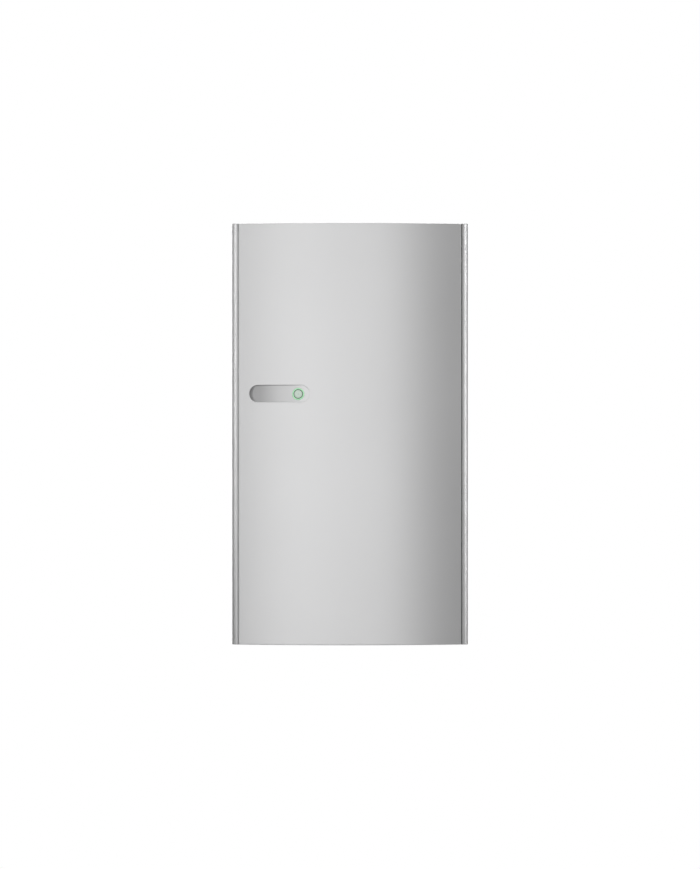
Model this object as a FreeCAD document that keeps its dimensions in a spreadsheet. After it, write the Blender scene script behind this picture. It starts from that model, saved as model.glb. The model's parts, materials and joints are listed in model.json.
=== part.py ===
"""Wall battery unit: a folded wall bracket, a base unit that hangs on it, and a lift-off front cover.

Frame: origin on the wall plane at the centre of the bracket's bolt pattern. +X is to the right of someone
facing the unit, +Y goes into the wall, so the front faces -Y, and +Z is up. Millimetres. A depth is measured
from the wall towards the front, so it is a negative Y.
"""
import FreeCAD, Part
import math
import os
import Sketcher

V = FreeCAD.Vector
TURN_TO = {"X": FreeCAD.Rotation(V(0, 1, 0), 90), "Y": FreeCAD.Rotation(V(1, 0, 0), 90),
           "Z": FreeCAD.Rotation()}
BAD_STATES = ("Invalid", "Error")

SIZES = {
    # front cover
    "cover_wide": 550.0, "cover_tall": 980.0, "cover_deep": 188.0, "cover_back": 12.0, "cover_wall": 3.0,
    "face_radius": 1221.0, "nose_radius": 14.0, "edge_round": 1.5,
    "crease_inset": 14.5, "crease_radius": 2.8, "crease_lift": 1.2,
    "recess_mid_x": -164.0, "recess_mid_z": 94.0, "recess_long": 141.0, "recess_tall": 40.0,
    "recess_floor_radius": 607.0, "recess_lip": 0.25,
    "light_x": -120.0, "light_z": 93.0, "light_radius": 14.0,
    "light_gap_radius": 11.8, "light_disc_radius": 9.6,
    "light_stand_out": 0.6, "light_thick": 3.0,
    "vent_wide": 6.0, "vent_long": 60.0, "vent_pitch": 16.0, "vent_count": 23.0, "vent_depth": 125.0,
    "stud_radius": 5.0, "stud_gap": 0.06, "stud_z": 474.0, "stud_spread": 200.0, "stud_tip": 75.0,
    # wall bracket and chassis
    "sheet_thick": 2.5, "bracket_wide": 460.0, "bracket_low": -470.0, "bracket_high": 410.0,
    "bolt_spread_x": 406.4, "bolt_spread_z": 700.0, "bolt_radius": 5.0, "bolt_slot": 30.0,
    "hook_out": 18.0, "hook_lip": 15.0, "hook_x": 150.0, "hook_wide": 60.0,
    "chassis_back": 20.0, "chassis_wide": 520.0, "chassis_tall": 964.0, "chassis_flange": 10.0,
    "lock_x": 100.0, "lock_z": -474.0, "lock_radius": 3.0,
    # cell pack
    "pack_half": 250.0, "pack_low": -464.0, "pack_high": -60.0, "pack_front": 140.0, "pack_wall": 4.0,
    "rim_out": 6.0, "rim_thick": 6.0, "lid_thick": 3.0, "gasket_thick": 1.0,
    "cell_wide": 148.0, "cell_tall": 39.5, "cell_deep": 99.0, "cell_back": 30.0,
    "column_pitch": 150.0, "row_pitch": 41.0, "first_row": -430.5, "end_plate": 8.0,
    "pole_offset": 45.0, "pole_radius": 8.0, "pole_tall": 4.0, "bus_thick": 2.5, "bus_half": 10.0,
    "pack_board_left": -150.0, "pack_board_right": 200.0, "pack_board_depth": 118.0, "board_thick": 1.6,
    "post_radius": 4.0, "chip_half": 7.0, "chip_tall": 2.4, "bay_gap": 10.0,
    "contactor_half": 35.0, "contactor_tall": 70.0, "coil_radius": 14.0, "coil_tall": 14.0,
    "fuse_left": -2.0, "fuse_long": 64.0, "fuse_radius": 13.0, "fuse_cap": 8.0,
    "fuse_lift": 20.0, "fuse_foot": 10.0,
    # power electronics
    "carrier_half": 248.0, "carrier_low": -52.0, "carrier_high": 332.0, "carrier_front": 79.0,
    "inverter_wide": 150.0, "inverter_tall": 175.0, "inverter_deep": 32.0, "inverter_pitch": 164.0,
    "inverter_low_z": 37.5, "inverter_high_z": 238.5, "fin_tall": 10.0, "fin_thick": 3.0, "fin_count": 12.0,
    "cable_radius": 5.0, "trunk_x": 82.0, "trunk_depth": 88.0, "bus_cable_z": 138.0, "bus_cable_depth": 100.0,
    "plug_half": 12.0, "plug_wall": 1.0, "gland_tall": 6.0, "gland_rim": 6.0,
    "stand_half_wide": 16.0, "stand_half_tall": 26.0, "stand_tall": 16.0, "stand_frame": 3.0,
    "stand_side": 6.0,
    "lamp_radius": 4.0, "lamp_tall": 3.0,
    "grip_low": 80.0, "grip_high": 200.0, "grip_out": 18.0, "grip_thick": 5.0, "grip_end": 8.0,
    "grip_depth": 40.0, "grip_wide": 20.0,
    # field wiring box and disconnect switch
    "box_half": 250.0, "box_low": 345.0, "box_high": 462.0, "box_front": 140.0, "box_wall": 3.5,
    "conduit_radius": 14.2, "conduit_z": 378.0, "conduit_depth": 72.0, "notch_half": 22.0,
    "switch_z": 432.0, "switch_depth": 70.0, "window_half": 22.0, "shaft_radius": 4.0, "shaft_gap": 0.05,
    "switch_half": 20.0, "switch_case": 46.5, "switch_face": 2.0, "hub_radius": 14.0, "hub_thick": 5.0,
    "bar_start": 3.0, "bar_tall": 12.5, "bar_half_wide": 5.0, "bar_half_long": 17.0, "shaft_reach": 10.0,
    "terminal_half": 60.0, "terminal_low": 385.0, "terminal_high": 425.0, "terminal_tall": 34.0,
    "cage_pitch": 24.0, "well_radius": 4.5, "well_deep": 20.0, "well_inset": 8.0,
    "clamp_radius": 4.2, "clamp_long": 14.0,
    "ground_left": -200.0, "ground_right": -110.0, "ground_low": 400.0, "ground_high": 412.0,
    "ground_lift": 12.0, "ground_thick": 10.0, "ground_bore": 2.1,
    "control_left": 85.0, "control_right": 185.0, "control_low": 405.0, "control_high": 450.0,
    "control_lift": 8.0,
    "control_post": 3.0, "control_plug_tall": 10.4, "control_chip": 8.0,
    "plug_flange": 19.0, "plug_flange_thick": 3.0, "plug_nut": 18.0, "plug_nut_thick": 5.0,
}


class Size:
    """A length that knows its number and the spreadsheet expression it comes from."""

    def __init__(self, value, text):
        self.value = value
        self.text = text

    def join(self, other, sign, answer, swapped=False):
        other_text = other.text if isinstance(other, Size) else repr(other)
        pair = (other_text, self.text) if swapped else (self.text, other_text)
        return Size(answer, "(%s %s %s)" % (pair[0], sign, pair[1]))

    def __add__(self, other):
        return self.join(other, "+", self.value + number(other))

    def __sub__(self, other):
        return self.join(other, "-", self.value - number(other))

    def __mul__(self, other):
        return self.join(other, "*", self.value * number(other))

    def __truediv__(self, other):
        return self.join(other, "/", self.value / number(other))

    def __radd__(self, other):
        return self.join(other, "+", number(other) + self.value, swapped=True)

    def __rsub__(self, other):
        return self.join(other, "-", number(other) - self.value, swapped=True)

    def __rmul__(self, other):
        return self.join(other, "*", number(other) * self.value, swapped=True)

    def __neg__(self):
        return Size(-self.value, "(0 - %s)" % self.text)


class Sizes:
    """The driving dimensions, by name."""

    def __getattr__(self, name):
        return Size(SIZES[name], "Sizes." + name)


S = Sizes()


def number(size):
    return size.value if isinstance(size, Size) else size


def root(size):
    return Size(math.sqrt(size.value), "sqrt(%s)" % size.text)


def fill_sheet():
    sheet = doc.addObject("Spreadsheet::Sheet", "Sizes")
    for row, (name, value) in enumerate(SIZES.items(), start=1):
        sheet.set("A%d" % row, name)
        sheet.set("B%d" % row, repr(value))
        sheet.setAlias("B%d" % row, name)
    doc.recompute()


def bind(thing, place, size):
    """Set a property from a plain number, or bind it to the spreadsheet."""
    if isinstance(size, Size):
        thing.setExpression(place, size.text)
    elif "." in place:
        thing.setExpression(place, repr(float(size)))
    else:
        setattr(thing, place, size)


def place(thing, x, y, z, turn=None):
    if turn:
        thing.Placement = FreeCAD.Placement(V(), turn)
    for axis, size in (("x", x), ("y", y), ("z", z)):
        bind(thing, "Placement.Base." + axis, size)


# ---------------------------------------------------------------- Part primitives and booleans

def box(label, x, y, z):
    """A block between two X, two Y and two Z places."""
    block = doc.addObject("Part::Box", label)
    bind(block, "Length", x[1] - x[0])
    bind(block, "Width", y[1] - y[0])
    bind(block, "Height", z[1] - z[0])
    place(block, x[0], y[0], z[0])
    return block


def slab(label, x, depth, z):
    """A block given by its X places, its depths from the wall (near wall, far from wall) and its Z places."""
    return box(label, x, (-depth[1], -depth[0]), z)


def rod(label, start, axis, radius, length):
    """A cylinder from a start point along +X, -Y (towards the front) or +Z."""
    bar = doc.addObject("Part::Cylinder", label)
    bind(bar, "Radius", radius)
    bind(bar, "Height", length)
    place(bar, start[0], start[1], start[2], TURN_TO[axis])
    return bar


def fuse(label, *pieces):
    joined = doc.addObject("Part::MultiFuse", label)
    joined.Shapes = list(pieces)
    joined.Refine = True
    return joined


def cut(label, piece, *tools):
    result = doc.addObject("Part::Cut", label)
    result.Base = piece
    result.Tool = tools[0] if len(tools) == 1 else group(label + "_tools", *tools)
    return result


def common(label, *pieces):
    shared = doc.addObject("Part::MultiCommon", label)
    shared.Shapes = list(pieces)
    return shared


def group(label, *pieces):
    """Separate solids that share one node."""
    together = doc.addObject("Part::Compound", label)
    together.Links = list(pieces)
    return together


def rounded(label, piece, radius, axis):
    """Round the straight edges of a piece that run along one axis."""
    doc.recompute()
    smooth = doc.addObject("Part::Fillet", label)
    smooth.Base = piece
    smooth.Edges = [(index, number(radius), number(radius)) for index in straight_edges(piece.Shape, axis)]
    return smooth


def straight_edges(shape, axis):
    wanted = {"X": V(1, 0, 0), "Y": V(0, 1, 0), "Z": V(0, 0, 1)}[axis]
    found = []
    for index, edge in enumerate(shape.Edges, start=1):
        if isinstance(edge.Curve, Part.Line) and abs(edge.tangentAt(edge.FirstParameter).dot(wanted)) > 0.999:
            found.append(index)
    return found


def copies(label, piece, places):
    """One node of separate solids: the same piece set at several places."""
    doc.recompute()
    solids = []
    for spot in places:
        solid = piece.Shape.copy()
        solid.translate(V(*[number(size) for size in spot]))
        solids.append(solid)
    node = doc.addObject("Part::Feature", label)
    node.Shape = Part.makeCompound(solids)
    node.Placement = FreeCAD.Placement()
    return node


# ---------------------------------------------------------------- PartDesign bodies

def new_body(label):
    return doc.addObject("PartDesign::Body", label)


def sketch(body, name, plane, offset=0.0):
    """A sketch on one of the body's own origin planes, moved along that plane's normal."""
    drawing = body.newObject("Sketcher::SketchObject", body.Label + "_" + name)
    base = [plane_object for plane_object in body.Origin.OriginFeatures if plane_object.Role == plane][0]
    drawing.AttachmentSupport = [(base, "")]
    drawing.MapMode = "FlatFace"
    bind(drawing, "AttachmentOffset.Base.z", offset)
    return drawing


def pin_point(drawing, line, end, point):
    """Fix one end of a line at a point given by two sizes."""
    for kind, size in (("DistanceX", point[0]), ("DistanceY", point[1])):
        index = drawing.addConstraint(Sketcher.Constraint(kind, -1, 1, line, end, number(size)))
        if isinstance(size, Size):
            drawing.setExpression("Constraints[%d]" % index, size.text)


def polygon(drawing, points):
    first = drawing.GeometryCount
    count = len(points)
    corners = [V(number(point[0]), number(point[1]), 0) for point in points]
    for index in range(count):
        drawing.addGeometry(Part.LineSegment(corners[index], corners[(index + 1) % count]), False)
    for index in range(count):
        drawing.addConstraint(
            Sketcher.Constraint("Coincident", first + index, 2, first + (index + 1) % count, 1))
        pin_point(drawing, first + index, 1, points[index])


def rectangle(drawing, left, right, low, high):
    polygon(drawing, [(left, low), (right, low), (right, high), (left, high)])


def circle(drawing, middle, radius):
    index = drawing.addGeometry(
        Part.Circle(V(number(middle[0]), number(middle[1]), 0), V(0, 0, 1), number(radius)), False)
    pin_point(drawing, index, 3, middle)
    held = drawing.addConstraint(Sketcher.Constraint("Radius", index, number(radius)))
    if isinstance(radius, Size):
        drawing.setExpression("Constraints[%d]" % held, radius.text)


def slot(drawing, middle, length, radius, upright=False):
    """A round-ended slot: two half circles joined by two lines."""
    reach = number(length) / 2 - number(radius)
    along = V(0, reach, 0) if upright else V(reach, 0, 0)
    across = V(-number(radius), 0, 0) if upright else V(0, number(radius), 0)
    centre = V(number(middle[0]), number(middle[1]), 0)
    outward = along * (1 / along.Length)
    first = drawing.GeometryCount
    for sign in (1, -1):
        tip = centre + (along + outward * number(radius)) * sign
        start = centre + (along - across) * sign
        end = centre + (along + across) * sign
        drawing.addGeometry(Part.Arc(start, tip, end), False)
        drawing.addGeometry(Part.LineSegment(end, centre + (across - along) * sign), False)
    for one, two in ((0, 1), (1, 2), (2, 3), (3, 0)):
        meet = Sketcher.Constraint("Tangent", first + one, 2, first + two, 1)
        drawing.addConstraint(meet)
    drawing.addConstraint(Sketcher.Constraint("Vertical" if upright else "Horizontal", first + 1))
    held = drawing.addConstraint(Sketcher.Constraint("Radius", first, number(radius)))
    if isinstance(radius, Size):
        drawing.setExpression("Constraints[%d]" % held, radius.text)
    half = (length - radius - radius) / 2
    if upright:
        pin_point(drawing, first, 3, (middle[0], middle[1] + half))
        pin_point(drawing, first + 2, 3, (middle[0], middle[1] - half))
    else:
        pin_point(drawing, first, 3, (middle[0] + half, middle[1]))


def pad(body, name, drawing, length):
    feature = body.newObject("PartDesign::Pad", body.Label + "_" + name)
    feature.Profile = drawing
    drawing.Visibility = False
    bind(feature, "Length", length)
    return feature


def pocket(body, name, drawing, length):
    """Cut against the sketch plane's normal, and make sure that something was cut."""
    doc.recompute()
    before = body.Shape.Volume
    feature = body.newObject("PartDesign::Pocket", body.Label + "_" + name)
    feature.Profile = drawing
    bind(feature, "Length", length)
    doc.recompute()
    if body.Shape.Volume > before - 0.01:
        raise RuntimeError("%s: pocket %s cuts nothing" % (body.Label, name))
    return feature


def pattern(body, name, feature, drawing, span, count):
    """Repeat a feature along its sketch's horizontal axis."""
    row = body.newObject("PartDesign::LinearPattern", body.Label + "_" + name)
    row.Originals = [feature]
    row.Direction = (drawing, ["H_Axis"])
    bind(row, "Length", span)
    row.Occurrences = int(number(count))
    body.Tip = row
    return row


def fillet(body, name, radius, choose):
    """Round the edges of the body's present shape that choose() accepts."""
    doc.recompute()
    base = body.Tip
    edges = ["Edge%d" % index for index, edge in enumerate(base.Shape.Edges, start=1) if choose(edge)]
    feature = body.newObject("PartDesign::Fillet", body.Label + "_" + name)
    feature.Base = (base, edges)
    bind(feature, "Radius", radius)
    return feature


def upright(edge):
    return along(edge, V(0, 0, 1))


def outward(edge):
    return along(edge, V(0, 1, 0))


def along(edge, direction):
    if not isinstance(edge.Curve, Part.Line):
        return False
    return abs(edge.tangentAt(edge.FirstParameter).dot(direction)) > 0.999


def tray(label, half, low, high, back, front, wall, corner):
    """A cast box open to the front with a rim round its mouth."""
    body = new_body(label)
    outside = sketch(body, "outside", "XZ_Plane", back)
    rectangle(outside, -half, half, low, high)
    pad(body, "block", outside, front - back)
    fillet(body, "corners", corner, outward)
    rim = sketch(body, "rim_outline", "XZ_Plane", front - S.rim_thick)
    rectangle(rim, -half - S.rim_out, half + S.rim_out, low - S.rim_out, high + S.rim_out)
    pad(body, "rim", rim, S.rim_thick)
    inside = sketch(body, "inside", "XZ_Plane", front)
    rectangle(inside, -half + wall, half - wall, low + wall, high - wall)
    pocket(body, "hollow", inside, front - back - wall)
    return body


def rim_gasket(label, half, low, high, front, wall):
    """A flat seal round the mouth of a tray, inside its screws."""
    body = new_body(label)
    ring = sketch(body, "ring", "XZ_Plane", front)
    rectangle(ring, -half, half, low, high)
    rectangle(ring, -half + wall, half - wall, low + wall, high - wall)
    pad(body, "seal", ring, S.gasket_thick)
    return body


def screw(label, depth, shank_radius, length, head_radius, head_tall):
    """A hex socket screw on the Y axis: the given depth is its head's underside, its tip towards the wall."""
    shank = rod(label + "_shank", (0, -depth + length, 0), "Y", shank_radius, length)
    head = rod(label + "_head", (0, -depth, 0), "Y", head_radius, head_tall)
    key = doc.addObject("Part::Prism", label + "_key")
    key.Polygon = 6
    bind(key, "Circumradius", head_radius * 0.5)
    bind(key, "Height", head_tall)
    place(key, 0, -depth - head_tall * 0.4, 0, TURN_TO["Y"])
    return cut(label + "_whole", fuse(label + "_solid", shank, head), key)


def rim_places(half, low, high, columns, rows):
    """Screw places round a rim, on the middle of the rim's overhang."""
    edge = S.rim_out / 2
    across = [-half - edge + (half + edge) * 2 * step / columns for step in range(columns + 1)]
    places = [(x, 0, z) for x in across for z in (low - edge, high + edge)]
    upward = [low - edge + (high - low + S.rim_out) * step / rows for step in range(1, rows)]
    return places + [(x, 0, z) for x in (-half - edge, half + edge) for z in upward]


def drill(label, piece, places, depth, radius, length):
    """The same piece with a row of screw holes, each from a depth towards the wall."""
    bit = rod(label + "_bit", (0, -depth + length, 0), "Y", radius, length)
    return cut(label, piece, copies(label + "_holes", bit, places))


# ---------------------------------------------------------------- wall bracket and chassis

def make_wall_bracket():
    body = new_body("bracket_form")
    plate = sketch(body, "plate", "XZ_Plane", 0.0)
    rectangle(plate, -S.bracket_wide / 2, S.bracket_wide / 2, S.bracket_low, S.bracket_high)
    pad(body, "sheet", plate, S.sheet_thick)
    hook = sketch(body, "hook_profile", "YZ_Plane", -S.hook_x - S.hook_wide)
    low_edge = S.bracket_high - S.sheet_thick
    lip_top = S.bracket_high + S.hook_lip
    lip_back = -S.hook_out + S.sheet_thick
    polygon(hook, [(0.0, low_edge), (-S.hook_out, low_edge), (-S.hook_out, lip_top), (lip_back, lip_top),
                   (lip_back, S.bracket_high), (0.0, S.bracket_high)])
    pad(body, "hook_rail", hook, (S.hook_x + S.hook_wide) * 2)
    foot = sketch(body, "foot_profile", "YZ_Plane", -S.hook_x - S.hook_wide)
    foot_top = S.bracket_low + S.sheet_thick
    foot_low = S.lock_z - 6
    foot_front = -S.chassis_back + S.sheet_thick
    polygon(foot, [(0.0, foot_top), (-S.chassis_back, foot_top), (-S.chassis_back, foot_low),
                   (foot_front, foot_low), (foot_front, S.bracket_low), (0.0, S.bracket_low)])
    pad(body, "foot_rail", foot, (S.hook_x + S.hook_wide) * 2)
    for side in (-1, 1):
        for level in (-1, 1):
            name = "bolt_%s%s" % ("left" if side < 0 else "right", "_low" if level < 0 else "_high")
            drawing = sketch(body, name, "XZ_Plane", S.sheet_thick)
            slot(drawing, (S.bolt_spread_x / 2 * side, S.bolt_spread_z / 2 * level),
                 S.bolt_slot, S.bolt_radius)
            pocket(body, name + "_slot", drawing, S.sheet_thick)
    lighten = sketch(body, "lightening", "XZ_Plane", S.sheet_thick)
    for column in (-1, 0, 1):
        for row in (-2, -1, 0, 1, 2):
            circle(lighten, (S.bolt_spread_x / 4 * column, S.bolt_spread_z / 5 * row), S.bolt_radius * 5)
    pocket(body, "lightening_holes", lighten, S.sheet_thick)
    return drill("wall_bracket", body, lock_places(), S.chassis_back, S.lock_radius + 0.2, 6.0)


def lock_places():
    return [(-S.lock_x, 0, S.lock_z), (S.lock_x, 0, S.lock_z)]


def make_hang_hooks():
    body = new_body("hang_hook_form")
    drawing = sketch(body, "profile", "YZ_Plane", -S.hook_wide / 2)
    lip_top = S.bracket_high + S.hook_lip
    front = -S.chassis_back
    inner = -S.hook_out - 0.2
    back = -S.hook_out + S.sheet_thick + 0.2
    polygon(drawing, [(front, S.bracket_high + 2), (front, lip_top + 25), (inner, lip_top + 25),
                      (inner, lip_top + 3), (back + 3, lip_top + 3), (back + 3, S.bracket_high + 2),
                      (back, S.bracket_high + 2), (back, lip_top),
                       (inner, lip_top), (inner, S.bracket_high + 2)])
    pad(body, "strip", drawing, S.hook_wide)
    copies("hang_hooks", body, [(-S.hook_x, 0, 0), (S.hook_x, 0, 0)])


def make_lock_screws():
    front = S.chassis_back + S.sheet_thick
    copies("bracket_lock_screws", screw("lock_screw", front, S.lock_radius, 12.0, 4.5, 3.0), lock_places())


def make_chassis():
    body = new_body("chassis_form")
    half = S.chassis_wide / 2
    front = S.chassis_back + S.sheet_thick
    profile = sketch(body, "profile", "XY_Plane", -S.chassis_tall / 2)
    tip = -front - S.chassis_flange
    inner = half - S.sheet_thick
    polygon(profile, [(-half, -S.chassis_back), (-half, tip), (-inner, tip), (-inner, -front),
                      (inner, -front), (inner, tip), (half, tip), (half, -S.chassis_back)])
    pad(body, "sheet", profile, S.chassis_tall)
    held = drill("chassis_drilled", body, lock_places(), front, S.lock_radius + 0.2, S.sheet_thick)
    drill("chassis", held, stud_places(), front, S.stud_radius - 1, S.sheet_thick)


def stud_places():
    return [(S.stud_spread * side, 0, S.stud_z * level) for side in (-1, 0, 1) for level in (-1, 1)]


def make_cover_studs():
    front = S.chassis_back + S.sheet_thick
    foot = rod("stud_foot", (0, -front + S.sheet_thick, 0), "Y", S.stud_radius - 1, S.sheet_thick)
    shank = rod("stud_shank", (0, -front, 0), "Y", S.stud_radius, S.stud_tip - front - 4)
    tip = doc.addObject("Part::Cone", "stud_tip_cone")
    bind(tip, "Radius1", S.stud_radius)
    bind(tip, "Radius2", S.stud_radius - 2)
    bind(tip, "Height", 4.0)
    place(tip, 0, -S.stud_tip + 4, 0, TURN_TO["Y"])
    copies("cover_studs", fuse("stud_whole", foot, shank, tip), stud_places())


# ---------------------------------------------------------------- cell pack

def make_pack_housing():
    back = S.chassis_back + S.sheet_thick
    body = tray("pack_casting", S.pack_half, S.pack_low, S.pack_high, back, S.pack_front, S.pack_wall, 8.0)
    gland = rod("pack_gland_hole", (-S.trunk_x, -S.trunk_depth, S.pack_high - S.pack_wall - 1), "Z",
                S.cable_radius + 3, S.pack_wall + 2)
    open_top = cut("pack_casting_open", body, gland)
    places = rim_places(S.pack_half, S.pack_low, S.pack_high, 5, 4)
    drill("pack_housing", open_top, places, S.pack_front, 2.0, 5.0)


def row_z(row):
    return S.first_row + S.row_pitch * row


def make_cells():
    block = slab("cell_block", (-S.cell_wide / 2, S.cell_wide / 2), (S.cell_back, S.cell_back + S.cell_deep),
                 (-S.cell_tall / 2, S.cell_tall / 2))
    can = rounded("cell_can", block, 2.0, "Y")
    copies("battery_cells", can, [(S.column_pitch * column, 0, row_z(row))
                                  for column in (-1, 0, 1) for row in range(8)])
    top = S.cell_back + S.cell_deep
    pole = rod("cell_pole", (0, -top, 0), "Y", S.pole_radius, S.pole_tall)
    copies("cell_terminals", pole, pole_places())


def pole_places():
    return [(S.column_pitch * column + S.pole_offset * side, 0, row_z(row))
            for column in (-1, 0, 1) for row in range(8) for side in (-1, 1)]


def make_stack_frame():
    half = S.column_pitch + S.cell_wide / 2
    depth = (S.cell_back + 1, S.cell_back + S.cell_deep - 1)
    gap = S.row_pitch - S.cell_tall
    sheet = slab("spacer_sheet", (-half, half), depth, (S.cell_tall / 2, S.cell_tall / 2 + gap))
    copies("cell_spacers", sheet, [(0, 0, row_z(row)) for row in range(-1, 8)])
    slab("pack_pad", (-half, half), (S.chassis_back + S.sheet_thick + S.pack_wall, S.cell_back),
         (row_z(0) - S.cell_tall / 2, row_z(7) + S.cell_tall / 2))
    low_end = row_z(0) - S.cell_tall / 2 - gap
    high_end = row_z(7) + S.cell_tall / 2 + gap
    blank = slab("end_plate_blank", (-half - 6, half + 6), depth, (0, S.end_plate))
    plate = rounded("end_plate", blank, 3.0, "Z")
    copies("end_plates", plate, [(0, 0, low_end - S.end_plate), (0, 0, high_end)])
    strap = slab("strap_blank", (0, 1.5), (50, 70), (low_end - S.end_plate, high_end + S.end_plate))
    places = [(x, -step, 0) for x in (-half - 7.5, half + 6) for step in (0, 40)]
    copies("tie_straps", strap, places)


def make_busbars():
    """Copper links that join the cells of each column in series, and the columns end to end."""
    back = S.cell_back + S.cell_deep + S.pole_tall
    depth = (back, back + S.bus_thick)
    half = S.bus_half
    upright_link = slab("link_upright", (-half, half), depth, (-half, S.row_pitch + half))
    level_link = slab("link_level", (-half, S.column_pitch - S.pole_offset * 2 + half), depth, (-half, half))
    upright_bar = rounded("link_upright_round", upright_link, 3.0, "Y")
    level_bar = rounded("link_level_round", level_link, 3.0, "Y")
    risers = []
    for column in (-1, 0, 1):
        for row in range(7):
            side = 1 if (row + column) % 2 else -1
            risers.append((S.column_pitch * column + S.pole_offset * side, 0, row_z(row)))
    risers_node = copies("link_risers", upright_bar, risers)
    crossings = [(-S.column_pitch + S.pole_offset, 0, row_z(7)), (S.pole_offset, 0, row_z(0))]
    crossings_node = copies("link_crossings", level_bar, crossings)
    group("busbars", risers_node, crossings_node)


def make_cell_carrier():
    half = S.column_pitch + S.cell_wide / 2
    top = S.cell_back + S.cell_deep
    plate = slab("carrier_plate", (-half, half), (top, top + 2),
                 (row_z(0) - S.cell_tall / 2, row_z(7) + S.cell_tall / 2))
    bit = rod("carrier_bit", (0, -top, 0), "Y", S.pole_radius + 1, 2.0)
    cut("cell_holder_plate", plate, copies("carrier_holes", bit, pole_places()))


def make_pack_electronics():
    """The board, contactor and fuse in the bay above the cells."""
    low = row_z(7) + S.cell_tall / 2 + S.bay_gap
    high = S.pack_high - S.pack_wall
    middle = (low + high) / 2
    floor = S.chassis_back + S.sheet_thick + S.pack_wall
    board_front = S.pack_board_depth + S.board_thick
    slab("battery_board", (S.pack_board_left, S.pack_board_right), (S.pack_board_depth, board_front),
         (low + 4, high - 4))
    posts = rod("board_post", (0, -floor, 0), "Y", S.post_radius, S.pack_board_depth - floor)
    copies("battery_posts", posts, [(x, 0, low + 12) for x in (-140, -30, 80, 190)])
    chip = slab("battery_chip", (-S.chip_half, S.chip_half), (board_front, board_front + S.chip_tall),
                (-S.chip_half, S.chip_half))
    copies("battery_chips", chip, [(x, 0, low + 22) for x in (-120, -90, -55, 0, 30, 55, 120, 150)])
    body = slab("contactor_base", (-S.trunk_x - S.contactor_half, -S.trunk_x + S.contactor_half),
                (floor, floor + S.contactor_tall), (low + 2, high - 6))
    coil = rod("contactor_coil", (-S.trunk_x, -floor - S.contactor_tall, middle), "Y",
               S.coil_radius, S.coil_tall)
    fuse("main_contactor", rounded("contactor_round", body, 4.0, "Y"), coil)
    make_main_fuse(floor, middle)


def make_main_fuse(floor, middle):
    """A ceramic barrel between two end caps, each on its own foot."""
    barrel = rod("fuse_barrel", (S.fuse_left, -floor - S.fuse_lift, middle), "X", S.fuse_radius, S.fuse_long)
    starts = (S.fuse_left - S.fuse_cap, S.fuse_left + S.fuse_long)
    caps = [rod("fuse_cap_%d" % step, (start, -floor - S.fuse_lift, middle), "X",
                S.fuse_radius + 1, S.fuse_cap)
            for step, start in enumerate(starts)]
    feet = [slab("fuse_foot_%d" % step, (start, start + S.fuse_cap), (floor, floor + S.fuse_foot),
                 (middle - S.fuse_cap, middle + S.fuse_cap)) for step, start in enumerate(starts)]
    fuse("main_fuse", barrel, *caps, *feet)


def make_pack_lid():
    rim_gasket("pack_gasket", S.pack_half, S.pack_low, S.pack_high, S.pack_front, S.pack_wall)
    seal = S.pack_front + S.gasket_thick
    body = new_body("pack_lid_form")
    outline = sketch(body, "outline", "XZ_Plane", seal)
    edge = S.rim_out
    rectangle(outline, -S.pack_half - edge, S.pack_half + edge, S.pack_low - edge, S.pack_high + edge)
    pad(body, "plate", outline, S.lid_thick)
    fillet(body, "corners", 6.0, outward)
    ribs = sketch(body, "rib_outline", "XZ_Plane", seal + S.lid_thick)
    rectangle(ribs, -S.pack_half + 30, -S.pack_half + 38, S.pack_low + 20, S.pack_high - 20)
    rib = pad(body, "rib", ribs, 3.0)
    pattern(body, "ribs", rib, ribs, S.pack_half * 2 - 68, 11)
    doc.recompute()
    vent = rod("lid_vent_hole", (S.pack_half - 18, -seal - S.lid_thick, S.pack_high - 14), "Y", 5.0, 1.0)
    vent_cut = cut("pack_lid_vented", body, vent)
    places = rim_places(S.pack_half, S.pack_low, S.pack_high, 5, 4)
    drill("pack_lid", vent_cut, places, seal + S.lid_thick, 2.2, S.lid_thick)
    front = seal + S.lid_thick
    copies("pack_screws", screw("pack_screw", front, 1.9, 8.0, 2.9, 2.4), places)
    stem = rod("breather_stem", (S.pack_half - 18, -front, S.pack_high - 14), "Y", 8.0, 3.0)
    dome = rod("breather_dome", (S.pack_half - 18, -front - 3, S.pack_high - 14), "Y", 6.0, 3.0)
    fuse("breather_vent", stem, dome)


# ---------------------------------------------------------------- power electronics

def make_inverter_carrier():
    body = new_body("inverter_carrier_form")
    half = S.carrier_half
    inner = half - S.sheet_thick
    back = -S.chassis_back - S.sheet_thick
    front = -S.carrier_front
    under = front + S.sheet_thick
    profile = sketch(body, "profile", "XY_Plane", S.carrier_low)
    polygon(profile, [(-half, back), (-half, front), (half, front), (half, back), (inner, back),
                      (inner, under), (-inner, under), (-inner, back)])
    pad(body, "sheet", profile, S.carrier_high - S.carrier_low)
    drill("inverter_carrier", body, inverter_screw_places(), S.carrier_front, 2.2, S.sheet_thick)


def inverter_places():
    return [(S.inverter_pitch * column, 0, level) for level in (S.inverter_high_z, S.inverter_low_z)
            for column in (-1, 0, 1)]


def ear_offsets():
    x = S.inverter_wide / 2 - 8
    z = S.inverter_tall / 2 - 6
    return [(-x, -z), (x, -z), (-x, z), (x, z)]


def inverter_screw_places():
    return [(spot[0] + x, 0, spot[2] + z) for spot in inverter_places() for x, z in ear_offsets()]


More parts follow.
